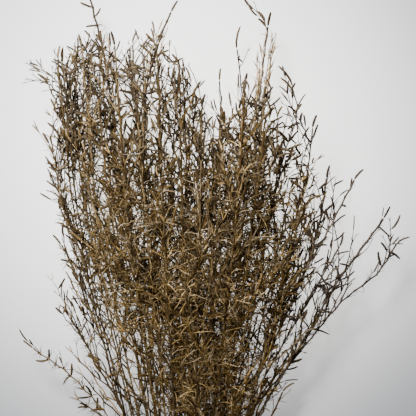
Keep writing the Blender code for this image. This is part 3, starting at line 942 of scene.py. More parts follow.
# Growth that is missing low and high in the head, in the same way. Below zero it is extra
LOW_THINNING = [(-0.10, 0.35), (-0.08, 0.9), (-0.03, 0.8), (0.0, 0.0), (0.08, 0.25)]
LOW_SHARE = [(0.25, 1.0), (0.28, 0.5), (0.33, 0.4), (0.37, 0.0)]
HIGH_THINNING = [(-0.085, 0.1), (-0.065, 0.4), (-0.04, 0.3), (-0.02, -0.2), (0.01, -0.1),
                 (0.03, 0.55), (0.05, 0.72), (0.08, 0.45), (0.12, 0.15)]
HIGH_SHARE = [(0.44, 0.0), (0.47, 1.0), (0.53, 1.0), (0.56, 0.0)]


def from_edge(p):
    """Share of the full litter at a point: little at the sides of the head, all in its middle."""
    over = between(RIGHT_LITTER, p.y) if p.x > 0.0 else 0.0
    return clamp((inside_head(p) + over) / MIDDLE_REACH, LEAST_LITTER, 1.0)


def fullness_at(p):
    """More growth at the left side and in the middle of the head, less where it is open."""
    side = clamp((between(LEFT_EDGE, p.y) + MIDDLE_REACH - p.x) / MIDDLE_REACH, 0.0, 1.0)
    open_low = between(LOW_SHARE, p.y) * between(LOW_THINNING, p.x)
    open_high = between(HIGH_SHARE, p.y) * between(HIGH_THINNING, p.x)
    inner = between(INNER_SHARE, p.y) * between(INNER_GROWTH, p.x)
    return 1.0 + between(LEFT_GROWTH, p.y) * side + inner - open_low - open_high


HEART = Vector((0.0, 0.40, 0.0))
OPEN_CROWN = Vector((0.05, 0.50, 0.0))
print("fullness in the heart of the head:", round(fullness_at(HEART), 2),
      "on the right of its crown:", round(fullness_at(OPEN_CROWN), 2))

# %% Light or dark, golden or weathered
# Gold inside the head, read along the bunch, and how far one twig is from it
GOLD_LEVEL = [(0.10, 0.62), (0.30, 0.52), (0.42, 0.22), (0.52, -0.15)]
GOLD_SPREAD = (-0.4, 0.35)

# Gold beside the head, read across it. It starts inside the edge, at this share of MIDDLE_REACH,
# and at the foot of the bunch another level takes its place
OUTER_START = 0.7
OUTER_GOLD = [(-0.12, -0.1), (0.0, -0.5), (0.06, -1.0)]
FOOT_GOLD = 0.35
FOOT_SHARE = [(0.24, 1.0), (0.33, 0.0)]

# Least and most tone along the bunch, and how much darker weathered growth is
TONE_START = [(0.30, 0.0), (0.38, 0.07), (0.50, 0.09)]
TONE_LIMIT = [(0.20, 0.46), (0.34, 0.50), (0.50, 0.41)]
WEATHERED_TONE = 0.45


def outer_gold(p):
    """Gold outside the head: some at its foot, less than none above, mostly on the right."""
    foot = between(FOOT_SHARE, p.y)
    return FOOT_GOLD * foot + between(OUTER_GOLD, p.x) * (1.0 - foot)


def any_shade(rng, p, low=0.0, more=1.0):
    """Tone and gold of what grows at a point: golden inside the head, weathered beside it."""
    golden = between(GOLD_LEVEL, p.y) * from_edge(p) + rng.uniform(*GOLD_SPREAD)
    outer = clamp(OUTER_START - inside_head(p) / MIDDLE_REACH, 0.0, 1.0)
    golden += outer * outer_gold(p)
    golden = clamp(golden, -1.0, 1.0)
    tone = rng.uniform(max(low, between(TONE_START, p.y)), between(TONE_LIMIT, p.y) * more)
    return tone * (1.0 + WEATHERED_TONE * min(golden, 0.0)), golden


# %% [markdown]
# ## Twigs, pods on a node, and shoots
#
# A side twig of the real plant leaves its node at an angle, bends a little at each node of its
# own, and ends in a pod, or in a small fork of bare stalks where the pods have dropped. Thousands
# of them drawn by hand would soon look alike. So each twig draws its own angle, arc and bends,
# and tries again, turned on and a little shorter, when it would stand too far out of the head.
# A shoot is a longer twig that carries twigs itself.

# %% Paths of twigs, and their forks
# Strongest arc of a twig and bend at a step, and how it returns along its line
GROWN_ARC = 0.28
GROWN_BEND = 0.22
GROWN_RETURN = 0.1
PRESSED = 0.5
FITTING_TRIES = 4
FITTING_SHORTER = 0.8
TWIG_ROOT = 0.60 * MM

# A fork: how many stalks, how far they spread, and their two lengths in millimetres
FORK_COUNTS = (2, 2, 3)
FORK_SPREAD = (0.3, 1.0)
FORK_BEND = 0.6
FORK_FOOT = 2.2
FORK_END = (1.5, 4.0)
FORK_RADII = [0.36 * MM, 0.32 * MM, 0.16 * MM]


def any_length(rng, span):
    """A length between two that are given in millimetres."""
    return rng.uniform(*span) * MM


def pressed(direction):
    """A direction in a bunch that has been laid down: its twigs lean towards the level."""
    return Vector((direction.x, direction.y, PRESSED * direction.z)).normalized()


def bent_path(start, along, azimuth, angle, length, gap, rng, lowest):
    """A twig's path: out at an angle, an arc of its own, and a turn at every step."""
    direction = along * math.cos(angle) + side_direction(along, azimuth) * math.sin(angle)
    direction = pressed(direction)
    arc = side_direction(direction, rng.uniform(0.0, math.tau)) * rng.uniform(0.0, GROWN_ARC)
    steps = max(2, round(length / gap))
    points = [start]
    for _ in range(steps):
        turn = side_direction(direction, rng.uniform(0.0, math.tau)) * rng.uniform(0.0, GROWN_BEND)
        direction = (direction + along * GROWN_RETURN + arc + turn).normalized()
        points.append(off_the_floor(points[-1] + direction * length / steps, lowest))
    return points, direction


def fitting_path(node, along, azimuth, angles, length, gap, lowest, pod_length, loose, rng):
    """A twig's path, last direction and azimuth, or nothing where none fits."""
    for _ in range(FITTING_TRIES):
        points, direction = bent_path(node, along, azimuth, rng.uniform(*angles), length, gap, rng,
                                      lowest)
        if fits(node, points[-1] + direction * pod_length, loose):
            return points, direction, azimuth
        azimuth += GOLDEN_ANGLE
        length *= FITTING_SHORTER
    return None


def add_fork(whole, start, direction, rng, shade):
    """Two or three short bare stalks at the end of a twig, whose pods have dropped."""
    for _ in range(rng.choice(FORK_COUNTS)):
        out = side_direction(direction, rng.uniform(0.0, math.tau)) * rng.uniform(*FORK_SPREAD)
        foot = (direction + out * FORK_BEND).normalized() * FORK_FOOT * MM
        middle = off_the_floor(start + foot, TWIG_ROOT)
        end = (direction + out).normalized() * rng.uniform(*FORK_END) * MM
        tip = off_the_floor(middle + end, TWIG_ROOT)
        add_tube(whole, [start, middle, tip], FORK_RADII, THIN_SIDES, BARK, shade)


# %% Twigs
POD_CHANCE = [(0.10, 0.10), (0.24, 0.25), (0.34, 0.40), (0.60, 0.50)]
POD_HALF = (0.65 * MM, 1.05 * MM)
POD_TONE = 0.9
TWIG_GAP = 6.0 * MM
TWIG_ANGLES = (0.3, 1.0)
TWIG_TAPER = 0.4

# Lengths in millimetres: of a twig, of the pod at its tip, of the pods on its sides
TWIG_LENGTH = (7.0, 26.0)
TIP_POD_LENGTH = (11.0, 18.0)
SMALL_POD_LENGTH = (8.0, 14.0)

# Pods on its sides: how often against the tip, how far they turn, how much they lean along it
SMALL_POD_SHARE = 0.5
SMALL_POD_TURN = 0.6
SMALL_POD_LEAN = (0.3, 1.0)


def add_twig(whole, node, along, azimuth, rng, size, loose):
    """A thin side twig with pods at its tip and sides."""
    length = any_length(rng, TWIG_LENGTH) * size
    pod_length = any_length(rng, TIP_POD_LENGTH)
    found = fitting_path(node, along, azimuth, TWIG_ANGLES, length, TWIG_GAP, TWIG_ROOT,
                         pod_length, loose, rng)
    if not found:
        return
    points, direction, azimuth = found
    steps = len(points) - 1
    shade = any_shade(rng, node)
    radii = [TWIG_ROOT * (1.0 - TWIG_TAPER * k / steps) for k in range(steps + 1)]
    add_tube(whole, points, radii, THIN_SIDES, BARK, shade)
    pod_shade = any_shade(rng, node, 0.0, POD_TONE)
    pod_chance = between(POD_CHANCE, node.y)
    if rng.random() < pod_chance:
        add_pod(whole, points[-1], direction, pod_length, rng.uniform(*POD_HALF), rng, pod_shade)
    else:
        add_fork(whole, points[-1], direction, rng, shade)
    for k in range(1, steps):
        if rng.random() < SMALL_POD_SHARE * pod_chance:
            turn = azimuth + math.pi * k + rng.uniform(-SMALL_POD_TURN, SMALL_POD_TURN)
            out = direction * rng.uniform(*SMALL_POD_LEAN) + side_direction(direction, turn)
            add_pod(whole, points[k], out.normalized(), any_length(rng, SMALL_POD_LENGTH),
                    rng.uniform(*POD_HALF), rng, pod_shade)


# %% Pods that sit straight on a node
SIDE_POD_CHANCE = [(0.20, 0.04), (0.32, 0.10), (0.44, 0.17), (0.60, 0.25)]
SIDE_POD_COUNTS = (1, 1, 2, 3)
SIDE_POD_ANGLES = (0.35, 1.35)
SIDE_POD_TONE = 0.8

# On a loose spray they are fewer and thicker
SPRAY_PODS = 0.46
SPRAY_POD_COUNTS = (1, 1, 1, 2)
SPRAY_POD_SIZE = 1.4


def add_side_pods(whole, node, along, azimuth, rng, loose):
    """One to three pods that sit straight on a node and stand away from its line."""
    shade = any_shade(rng, node, 0.0, SIDE_POD_TONE)
    on_spray = loose == SPRAY_LOOSE
    for k in range(rng.choice(SPRAY_POD_COUNTS if on_spray else SIDE_POD_COUNTS)):
        angle = rng.uniform(*SIDE_POD_ANGLES)
        side = side_direction(along, azimuth + GOLDEN_ANGLE * k)
        out = pressed(along * math.cos(angle) + side * math.sin(angle))
        length = any_length(rng, TIP_POD_LENGTH)
        if fits(node, node + out * length, loose):
            radius = rng.uniform(*POD_HALF) * (SPRAY_POD_SIZE if on_spray else 1.0)
            add_pod(whole, node, out, length, radius, rng, shade)


# %% Shoots
# Its length, in millimetres, and its shape
SHOOT_LENGTH = (38.0, 100.0)
SHOOT_ROOT = 0.85 * MM
SHOOT_STEP = 12.0 * MM
SHOOT_TAPER = 0.45
SHOOT_TIP_PODS = 0.5
SHOOT_TWIGS = 0.7

# How far it may stand out, against its line, and its least and largest angle
SHOOT_LOOSE = 0.5
SHOOT_LEAST = 0.12
SHOOT_SPREAD = [(0.20, 0.35), (0.36, 0.42), (0.46, 0.60), (0.56, 0.75)]
SPRAY_SPREAD = 0.30


def add_shoot(whole, node, along, azimuth, root, rng, loose):
    """A longer side shoot with nodes and twigs of its own."""
    spread = SPRAY_SPREAD if loose == SPRAY_LOOSE else between(SHOOT_SPREAD, node.y)
    found = fitting_path(node, along, azimuth, (SHOOT_LEAST, spread), any_length(rng, SHOOT_LENGTH),
                         SHOOT_STEP, SHOOT_ROOT, POD_LENGTH[1], SHOOT_LOOSE * loose, rng)
    if not found:
        return
    path, direction, _ = found
    start = min(root, SHOOT_ROOT)
    widths = [start * (1.0 - SHOOT_TAPER * k / (len(path) - 1)) for k in range(len(path))]
    line = jointed(path, widths, SHOOT_GAP, SHOOT_ZIGZAG, rng)
    shade = any_shade(rng, node)
    add_tube(whole, *swollen(line, TWIG_SWELL), SHOOT_SIDES, BARK, shade)
    if rng.random() < SHOOT_TIP_PODS:
        add_pod(whole, line[-1][0], direction, any_length(rng, TIP_POD_LENGTH),
                rng.uniform(*POD_HALF), rng, shade)
    else:
        add_fork(whole, line[-1][0], direction, rng, shade)
    dress_line(whole, line, rng, SHOOT_TWIGS, loose, 0.0)


# %% [markdown]
# ## Litter at the nodes, and a dressed line
#
# Bits of dry leaf, papery husks and threads hang on the real nodes. The threads fill the lower
# middle of the head like straw, and the husks lie in its crown. They could be scattered over the
# whole bunch, but then some would float, so each one starts on a node.
# Stems, branches, sprays and shoots are all lines of nodes, so one helper dresses them all: at
# each node it may set a shoot, then a twig or side pods, and then litter.

# %% Litter
LEAF_NUMBER = [(0.05, 0.0), (0.12, 0.6), (0.20, 0.8), (0.32, 0.5), (0.42, 0.15), (0.60, 0.1)]
HUSK_NUMBER = [(0.20, 0.0), (0.32, 0.07), (0.42, 0.15), (0.60, 0.22)]
THREAD_NUMBER = [(0.10, 0.0), (0.17, 1.0), (0.21, 7.2), (0.33, 6.5), (0.44, 1.8), (0.60, 0.5)]

# For each kind: how many at a node, then in millimetres how long and how thick to the middle
# line, and how much it curls
LITTER = {
    "leaf": (LEAF_NUMBER, (8.0, 20.0), (0.36, 0.74), (0.20, 0.70)),
    "husk": (HUSK_NUMBER, (9.0, 17.0), (1.10, 2.00), (0.20, 0.60)),
    "thread": (THREAD_NUMBER, (10.0, 32.0), (0.24, 0.42), (0.20, 0.75)),
}
LITTER_LEAN = (-0.2, 2.2)
LITTER_TONES = (0.15, 1.55)

# On a loose spray: how much of it, read across the head, and how long it is
SPRAY_LITTER = [(-0.085, 1.9), (-0.06, 0.7), (0.0, 0.3)]
SPRAY_TUFTS = 0.5


def how_many(number, rng):
    """A whole number that is on average the one given."""
    whole_part = int(number)
    return whole_part + (rng.random() < number - whole_part)


def add_litter(whole, node, along, rng, loose):
    """Leaves, husks and threads at a node."""
    on_spray = loose == SPRAY_LOOSE
    inner = max(from_edge(node), between(SPRAY_LITTER, node.x) if on_spray else 0.0)
    for kind, (number, lengths, widths, curls) in LITTER.items():
        share = fullness_at(node) * (1.0 if kind == "husk" else inner)
        for _ in range(how_many(between(number, node.y) * share, rng)):
            turn = rng.uniform(0.0, math.tau)
            out = pressed(along * rng.uniform(*LITTER_LEAN) + side_direction(along, turn))
            shade = any_shade(rng, node, *LITTER_TONES)
            length = any_length(rng, lengths) * (SPRAY_TUFTS if on_spray else 1.0)
            width = any_length(rng, widths)
            if fits(node, node + out * length, loose):
                add_blade = add_thread if kind == "thread" else add_leaf
                add_blade(whole, node, out, length, width, curls, rng, shade)


# %% Dress a line of nodes
SHOOT_CHANCE = [(0.10, 0.0), (0.18, 0.20), (0.30, 0.27), (0.40, 0.28), (0.48, 0.27), (0.54, 0.42)]
TWIG_CHANCE = [(0.07, 0.0), (0.16, 0.50), (0.30, 0.42), (0.42, 0.30), (0.54, 0.46)]
TWIG_TURN = 0.7
SHOOT_TURN = (1.0, 2.0)


def dress_line(whole, line, rng, size, loose, shoots):
    """Shoots, twigs, pods, leaves and threads on the nodes of a stem, branch or shoot."""
    azimuth = rng.uniform(0.0, math.tau)
    for (before, _), (node, radius), (after, _) in zip(line, line[1:], line[2:]):
        along = (after - before).normalized()
        azimuth += math.pi + rng.uniform(-TWIG_TURN, TWIG_TURN)
        fuller = fullness_at(node)
        side_pods = SPRAY_PODS if loose == SPRAY_LOOSE else between(SIDE_POD_CHANCE, node.y)
        if rng.random() < shoots * fuller * between(SHOOT_CHANCE, node.y):
            add_shoot(whole, node, along, azimuth + rng.uniform(*SHOOT_TURN), radius, rng, loose)
        if rng.random() < fuller * between(TWIG_CHANCE, node.y):
            add_twig(whole, node, along, azimuth, rng, size, loose)
        elif rng.random() < side_pods:
            add_side_pods(whole, node, along, azimuth, rng, loose)
        if shoots:
            add_litter(whole, node, along, rng, loose)


# %% [markdown]
# ## Sprays of their own kind, and stray twigs
#
# The long sprays that stand out of the real head aren't alike. Some are stout, two at the lower
# left are slender, a few have straw-coloured stalks standing beside them like a sheaf, and two
# end in long pods that bend like hooks. Chance would not put those where they are, so each is
# named by its number in the list of sprays. Three small twigs that the solids leave out are
# given by their own routes.

# %% Which spray is of which kind
SLENDER = (0, 1)
BARE_TIPS = (5,)
STOUT = {5: 1.10 * MM, 6: 1.05 * MM, 12: 1.05 * MM, 13: 1.05 * MM, 15: 1.20 * MM}
SHEAVES = {5: 1, 6: 2, 8: 2, 9: 12}

# Hooked pods: the side that they bend to, how far, and how many they are
HOOKED = {8: (1.0, 0.45, 1), 10: (-1.0, 0.60, 2)}


def spray_number(route):
    """Which of the listed sprays a route is: the one whose tip is nearest."""
    tip = route[-1].xy
    return min(range(len(SPRAYS)), key=lambda k: (Vector(SPRAYS[k][-1]) - tip).length)


# %% Sheaves and hooked pods
# A stalk of a sheaf: where it starts and ends along its spray, and how far it fans out
SHEAF_FROM = (0.25, 0.60)
SHEAF_TO = (0.70, 1.00)
SHEAF_FAN = (-7.0 * MM, 9.0 * MM)
SHEAF_LIFT = 4.0 * MM
SHEAF_ROOT_SHARE = 0.5
SHEAF_RADIUS = 0.95 * MM
SHEAF_TAPER = 0.4
SHEAF_TONES = (0.45, 0.80)
SHEAF_GOLDS = (0.2, 0.6)

# Its leaves: how far they lean out, length and half width in millimetres, and curl
SHEAF_LEAF_LEAN = (0.1, 0.5)
SHEAF_LEAF_LENGTH = (9.0, 22.0)
SHEAF_LEAF_HALF = (0.5, 0.9)
SHEAF_LEAF_CURLS = (0.05, 0.20)

HOOK_LENGTH = 24.0 * MM
HOOK_VARIETY = (0.85, 1.0)
HOOK_RADIUS = 1.25 * MM
HOOK_LEAN = 0.35
HOOK_TONES = (0.1, 0.35)
HOOK_GOLD = 0.2


def straw_shade(rng):
    """Tone and gold of a stalk or a leaf of a sheaf."""
    return rng.uniform(*SHEAF_TONES), rng.uniform(*SHEAF_GOLDS)


def add_sheaf(whole, line, count, rng):
    """Straw-coloured stalks that rise beside a spray and fan out, with narrow leaves on them."""
    last = len(line) - 1
    for _ in range(count):
        first, end = round(last * rng.uniform(*SHEAF_FROM)), round(last * rng.uniform(*SHEAF_TO))
        beside = Vector((rng.uniform(*SHEAF_FAN), 0.0, rng.uniform(-SHEAF_LIFT, SHEAF_LIFT)))
        shares = [(k - first) / (end - first) for k in range(first, end + 1)]
        path = [line[first + k][0] + beside * (SHEAF_ROOT_SHARE + (1.0 - SHEAF_ROOT_SHARE) * share)
                for k, share in enumerate(shares)]
        widths = [SHEAF_RADIUS * (1.0 - SHEAF_TAPER * share) for share in shares]
        stalk = jointed(path, widths, BRANCH_GAP, STEM_ZIGZAG, rng)
        shade = straw_shade(rng)
        add_tube(whole, *swollen(stalk, STEM_SWELL), SHOOT_SIDES, BARK, shade)
        add_fork(whole, *way_out(stalk), rng, shade)
        for (node, _), (after, _) in zip(stalk, stalk[1:]):
            along = (after - node).normalized()
            side = side_direction(along, rng.uniform(0.0, math.tau))
            out = pressed(along + side * rng.uniform(*SHEAF_LEAF_LEAN))
            add_leaf(whole, node, out, any_length(rng, SHEAF_LEAF_LENGTH),
                     any_length(rng, SHEAF_LEAF_HALF), SHEAF_LEAF_CURLS, rng, straw_shade(rng))


def add_hooks(whole, line, side, bow, count, rng):
    """Long pods at the tip of a spray that all bend to the same side."""
    towards = Vector((side, 0.0, 0.0))
    for k in range(count):
        tip, along = way_out(line[:len(line) - k])
        direction = (along - towards * HOOK_LEAN * bow).normalized()
        length = HOOK_LENGTH * rng.uniform(*HOOK_VARIETY)
        add_arc(whole, tip, direction, towards, length, bow, HOOK_RADIUS, HOOK_FORM,
                (rng.uniform(*HOOK_TONES), HOOK_GOLD))


# %% Stray twigs
# Root, bend and tip, across and past the band
STRAYS = [
    [(-0.113, 0.525), (-0.136, 0.547), (-0.158, 0.557)],
    [(-0.110, 0.510), (-0.136, 0.538), (-0.157, 0.542)],
    [(0.083, 0.592), (0.081, 0.607), (0.066, 0.620)],
]
STRAY_RADIUS = 0.7 * MM
STRAY_TIP = 0.7
STRAY_ZIGZAG = 0.6 * MM
STRAY_TWIGS = 0.4


def nearest_on(lines, place):
    """The point of several jointed lines that is nearest to a place."""
    spots = []
    for line in lines:
        for (a, _), (b, _) in zip(line, line[1:]):
            share = clamp((place - a).dot(b - a) / (b - a).length_squared, 0.0, 1.0)
            spots.append(a.lerp(b, share))
    return min(spots, key=lambda spot: (spot - place).length)


def host_of(route):
    """The stem with a point of its growth nearest to the root of a stray, seen from above."""
    root = Vector(route[0])
    return min(stems, key=lambda stem: min((p.xy - root).length for points in
                                           [stem.points] + [part[1] for part in stem.parts]
                                           for p in points))


def add_stray(whole, lines, route, rng):
    """A thin twig of its own that stands out of the head, with pods."""
    level = lines[0][-1][0].z
    root = nearest_on(lines, Vector((*route[0], level)))
    path = [root] + [Vector((*place, root.z)) for place in route[1:]]
    widths = [STRAY_RADIUS, STRAY_RADIUS, STRAY_TIP * STRAY_RADIUS]
    line = jointed(path, widths, TWIG_GAP, STRAY_ZIGZAG, rng)
    add_tube(whole, *swollen(line, STEM_SWELL), SHOOT_SIDES, BARK, any_shade(rng, root))
    add_fork(whole, *way_out(line), rng, any_shade(rng, root))
    dress_line(whole, line, rng, STRAY_TWIGS, SPRAY_LOOSE, 0.0)


print("strays on stems:", [host_of(route).number for route in STRAYS])

# %% [markdown]
# ## The whole of one stem
#
# The roots of the branches and single pods sit on the stem of the solids. The finished stem
# swings a little to and fro, so each root is moved onto it, and the rest of the route follows
# less and less towards its tip, which stays where it was. The stem, its branches and its sprays
# are then lines of nodes, which are dressed one after the other.

# %% Branches and sprays on the finished stem
BRANCH_FULLNESS = 1.35
SPRAY_FULLNESS = 1.75
SLIMMEST_SPRAY = 0.75 * MM
BARE_TAPER = 0.6
SPRAY_SHOOTS = 2.5
SLENDER_SHOOTS = 0.9
POD_POINTS = 2

# How far the shade of a branch is from its stem's, and a spray's from its tables
BRANCH_TONES = (-0.1, 0.2)
BRANCH_GOLDS = (-0.2, 0.3)
SPRAY_TONE = [(0.24, 0.32), (0.35, 0.20), (0.60, 0.16)]
SPRAY_TONES = (-0.12, 0.12)
SPRAY_GOLDS = (-0.3, 0.3)


def on_line(line, y):
    """The point of a jointed stem at a distance y past the band."""
    for (low, _), (high, _) in zip(line, line[1:]):
        if y <= high.y:
            return low.lerp(high, clamp((y - low.y) / (high.y - low.y), 0.0, 1.0))
    return line[-1][0]


def shifted_root(points, root):
    """Moves the root of a route onto the finished stem, and the rest of it less and less."""
    move = root - points[0]
    last = len(points) - 1
    return [p + move * (1.0 - k / last) for k, p in enumerate(points)]


def side_line(main_line, route, widths, fullness, slimmest, rng):
    """A jointed line from the finished stem along as much of a route as has a width."""
    path = shifted_root(route, on_line(main_line, route[0].y))[:len(widths)]
    widths = [max(fullness * width, slimmest) for width in widths]
    return jointed(path, widths, BRANCH_GAP, STEM_ZIGZAG, rng)


def add_branch(whole, main_line, route, widths, stem_tone, stem_gold, rng):
    """A side branch in nearly the shade of its stem, without its tip pod."""
    line = side_line(main_line, route, widths[:-POD_POINTS], BRANCH_FULLNESS, SLIMMEST_SPRAY, rng)
    shade = (stem_tone + rng.uniform(*BRANCH_TONES),
             clamp(stem_gold + rng.uniform(*BRANCH_GOLDS), 0.0, 1.0))
    add_tube(whole, *swollen(line, TWIG_SWELL), BRANCH_SIDES, BARK, shade)
    return line, LOOSE, 1.0, True


def add_spray(whole, main_line, route, widths, rng):
    """A loose spray with what belongs to its kind. One with a bare tip runs on to its end."""
    number = spray_number(route)
    widths = widths[:-POD_POINTS]
    if number in BARE_TIPS:
        widths = widths + [widths[-1], BARE_TAPER * widths[-1]]
    line = side_line(main_line, route, widths, 1.0 if number in SLENDER else SPRAY_FULLNESS,
                     STOUT.get(number, SLIMMEST_SPRAY), rng)
    tip = route[-1]
    shade = (between(SPRAY_TONE, tip.y) + rng.uniform(*SPRAY_TONES),
             clamp(outer_gold(tip) + rng.uniform(*SPRAY_GOLDS), -1.0, 1.0))
    add_sheaf(whole, line, SHEAVES.get(number, 0), rng)
    if number in HOOKED:
        add_hooks(whole, line, *HOOKED[number], rng)
    add_tube(whole, *swollen(line, TWIG_SWELL), BRANCH_SIDES, BARK, shade)
    shoots = SLENDER_SHOOTS if number in SLENDER else SPRAY_SHOOTS
    return line, SPRAY_LOOSE, shoots, number not in HOOKED and number not in BARE_TIPS


# %% Put one stem together
STEM_SEED = 7000
SLIMMEST_STEM = 0.85 * MM
STEM_TONES = (0.10, 0.38)
STEM_GOLDS = (0.1, 0.7)
ROUTE_POD_WIDTHS = (0.75, 0.95)
ROUTE_LEAF_WIDTH = 0.65
ROUTE_LEAF_TONES = (0.2, 1.45)


def dress_stem(stem):
    """The finished mesh of one stem with all that grows from it."""
    rng = random.Random(STEM_SEED + stem.number)
    whole = bmesh.new()
    whole.verts.layers.float.new("tone")
    whole.verts.layers.float.new("gold")
    stem_tone, stem_gold = rng.uniform(*STEM_TONES), rng.uniform(*STEM_GOLDS)
    widths = [max(SLIMMEST_STEM, radius) for radius in stem.radii[:-POD_POINTS]]
    main_line = jointed(stem.points[:-POD_POINTS], widths, STEM_GAP, STEM_ZIGZAG, rng)
    add_tube(whole, *swollen(main_line, STEM_SWELL), STEM_SIDES, BARK, (stem_tone, stem_gold))

    # Each line with how loose it is, its share of shoots, and whether a pod ends it
    lines = [(main_line, LOOSE, 1.0, True)]
    for kind, route, widths in stem.parts:
        if kind == "branch":
            lines.append(add_branch(whole, main_line, route, widths, stem_tone, stem_gold, rng))
        elif kind == "spray":
            lines.append(add_spray(whole, main_line, route, widths, rng))
    for line, loose, shoots, tip_pod in lines:
        tip, along = way_out(line)
        if tip_pod:
            add_pod(whole, tip, along, POD_LENGTH[0], POD_RADIUS * rng.uniform(*ROUTE_POD_WIDTHS),
                    rng, any_shade(rng, tip))
        dress_line(whole, line, rng, 1.0, loose, shoots)

    # Then what starts from the nearest of these lines
    grown = [entry[0] for entry in lines]
    for route in STRAYS:
        if host_of(route) is stem:
            add_stray(whole, grown, route, rng)
    for kind, route, _ in stem.parts:
        root = nearest_on(grown, route[0])
        reach = route[-1] - root
        if kind == "pod":
            add_pod(whole, root, reach.normalized(), reach.length,
                    POD_RADIUS * rng.uniform(*ROUTE_POD_WIDTHS), rng, any_shade(rng, root))
        elif kind == "leaf":
            add_leaf(whole, root, reach.normalized(), reach.length,
                     LEAF_HALF_WIDTH * ROUTE_LEAF_WIDTH, LITTER["leaf"][-1], rng,
                     any_shade(rng, root, *ROUTE_LEAF_TONES))
    return whole


# %% [markdown]
# ## Finishes
#
# Dry plants have no clean colour. Bark goes from nearly black in its grooves to straw where it is
# rubbed, and old growth is weathered to grey. So each finish has three ramps of four browns:
# greyish, golden and weathered. The tone that a tube stores, plus noise, picks the brown on every
# ramp, and its gold mixes the ramps. The noise is read from Object coordinates and drawn out along
# the stems like fibres, and it makes the fine relief as well. A photograph of bark would repeat
# itself and belong to one size; noise doesn't.

# %% Helpers for nodes
def new_finish(name):
    """A new material with its nodes, its links and its shader."""
    material = bpy.data.materials.new(name)
    material.use_nodes = True
    tree = material.node_tree
    return material, tree.nodes, tree.links, tree.nodes["Principled BSDF"]


def add_node(nodes, kind, values=None, **settings):
    """A shader node, with the values of its inputs and its settings."""
    node = nodes.new("ShaderNode" + kind)
    for name, setting in settings.items():
        setattr(node, name, setting)
    for socket, value in (values or {}).items():
        node.inputs[socket].default_value = value
    return node


def wire(links, pairs):
    """Links each output to its input."""
    for output, socket in pairs:
        links.new(output, socket)


def even_ramp(nodes, browns):
    """A colour ramp whose colours are evenly spaced."""
    ramp = add_node(nodes, "ValToRGB")
    ramp.color_ramp.elements.remove(ramp.color_ramp.elements[1])
    ramp.color_ramp.elements[0].color = (*browns[0], 1.0)
    for k, brown in enumerate(browns[1:], start=1):
        ramp.color_ramp.elements.new(k / (len(browns) - 1)).color = (*brown, 1.0)
    return ramp


def mixed(nodes, links, share, first, second):
    """A mix of two colours. A share below zero or above one counts as zero or one."""
    mix = add_node(nodes, "Mix", data_type="RGBA")
    colours = [socket for socket in mix.inputs if socket.type == "RGBA"]
    wire(links, [(share, mix.inputs["Factor"]), (first, colours[0]), (second, colours[1])])
    return [socket for socket in mix.outputs if socket.type == "RGBA"][0]


# %% A plant finish
DRY_SHINE = 0.06
FIBRE_DETAIL = 4.0
PATCH_DETAIL = 2.0
PATCH_SHARE = 0.5
NOISE_SPAN = (0.45, 1.05)
TONE_SPAN = (-0.30, 0.30)
RELIEF_DEPTH = 0.3 * MM
ROUGH_SPREAD = 0.12


def plant_finish(name, ramps, streak, patch, relief, rough):
    """A dry plant skin. Tone and noise pick a colour on three ramps, and gold mixes the ramps."""
    material, nodes, links, shader = new_finish(name)
    shader.inputs["Specular IOR Level"].default_value = DRY_SHINE
    place = add_node(nodes, "TexCoord")
    stretch = add_node(nodes, "Mapping", {"Scale": streak})
    fibre = add_node(nodes, "TexNoise", {"Scale": 1.0, "Detail": FIBRE_DETAIL})
    blotch = add_node(nodes, "TexNoise", {"Scale": patch, "Detail": PATCH_DETAIL})
    both = add_node(nodes, "Math", {1: PATCH_SHARE}, operation="MULTIPLY_ADD")
    spread = add_node(nodes, "MapRange", {"From Min": NOISE_SPAN[0], "From Max": NOISE_SPAN[1],
                                          "To Min": TONE_SPAN[0], "To Max": TONE_SPAN[1]})
    tone = add_node(nodes, "Attribute", attribute_name="tone")
    pick = add_node(nodes, "Math", operation="ADD")
    gold = add_node(nodes, "Attribute", attribute_name="gold")
    grey = add_node(nodes, "Math", {1: -1.0}, operation="MULTIPLY")
    bump = add_node(nodes, "Bump", {"Strength": relief, "Distance": RELIEF_DEPTH})
    roughness = add_node(nodes, "MapRange", {"To Min": rough - ROUGH_SPREAD,
                                             "To Max": rough + ROUGH_SPREAD})
    wire(links, [
        (place.outputs["Object"], stretch.inputs["Vector"]),
        (stretch.outputs["Vector"], fibre.inputs["Vector"]),
        (place.outputs["Object"], blotch.inputs["Vector"]),
        (blotch.outputs["Fac"], both.inputs[0]),
        (fibre.outputs["Fac"], both.inputs[2]),
        (both.outputs["Value"], spread.inputs["Value"]),
        (tone.outputs["Fac"], pick.inputs[0]),
        (spread.outputs["Result"], pick.inputs[1]),
        (gold.outputs["Fac"], grey.inputs[0]),
        (fibre.outputs["Fac"], bump.inputs["Height"]),
        (bump.outputs["Normal"], shader.inputs["Normal"]),
        (blotch.outputs["Fac"], roughness.inputs["Value"]),
        (roughness.outputs["Result"], shader.inputs["Roughness"]),
    ])
    colours = []
    for browns in ramps:
        ramp = even_ramp(nodes, browns)
        links.new(pick.outputs["Value"], ramp.inputs["Fac"])
        colours.append(ramp.outputs["Color"])
    warmer = mixed(nodes, links, gold.outputs["Fac"], colours[0], colours[1])
    brown = mixed(nodes, links, grey.outputs["Value"], warmer, colours[2])
    links.new(brown, shader.inputs["Base Color"])
    return material


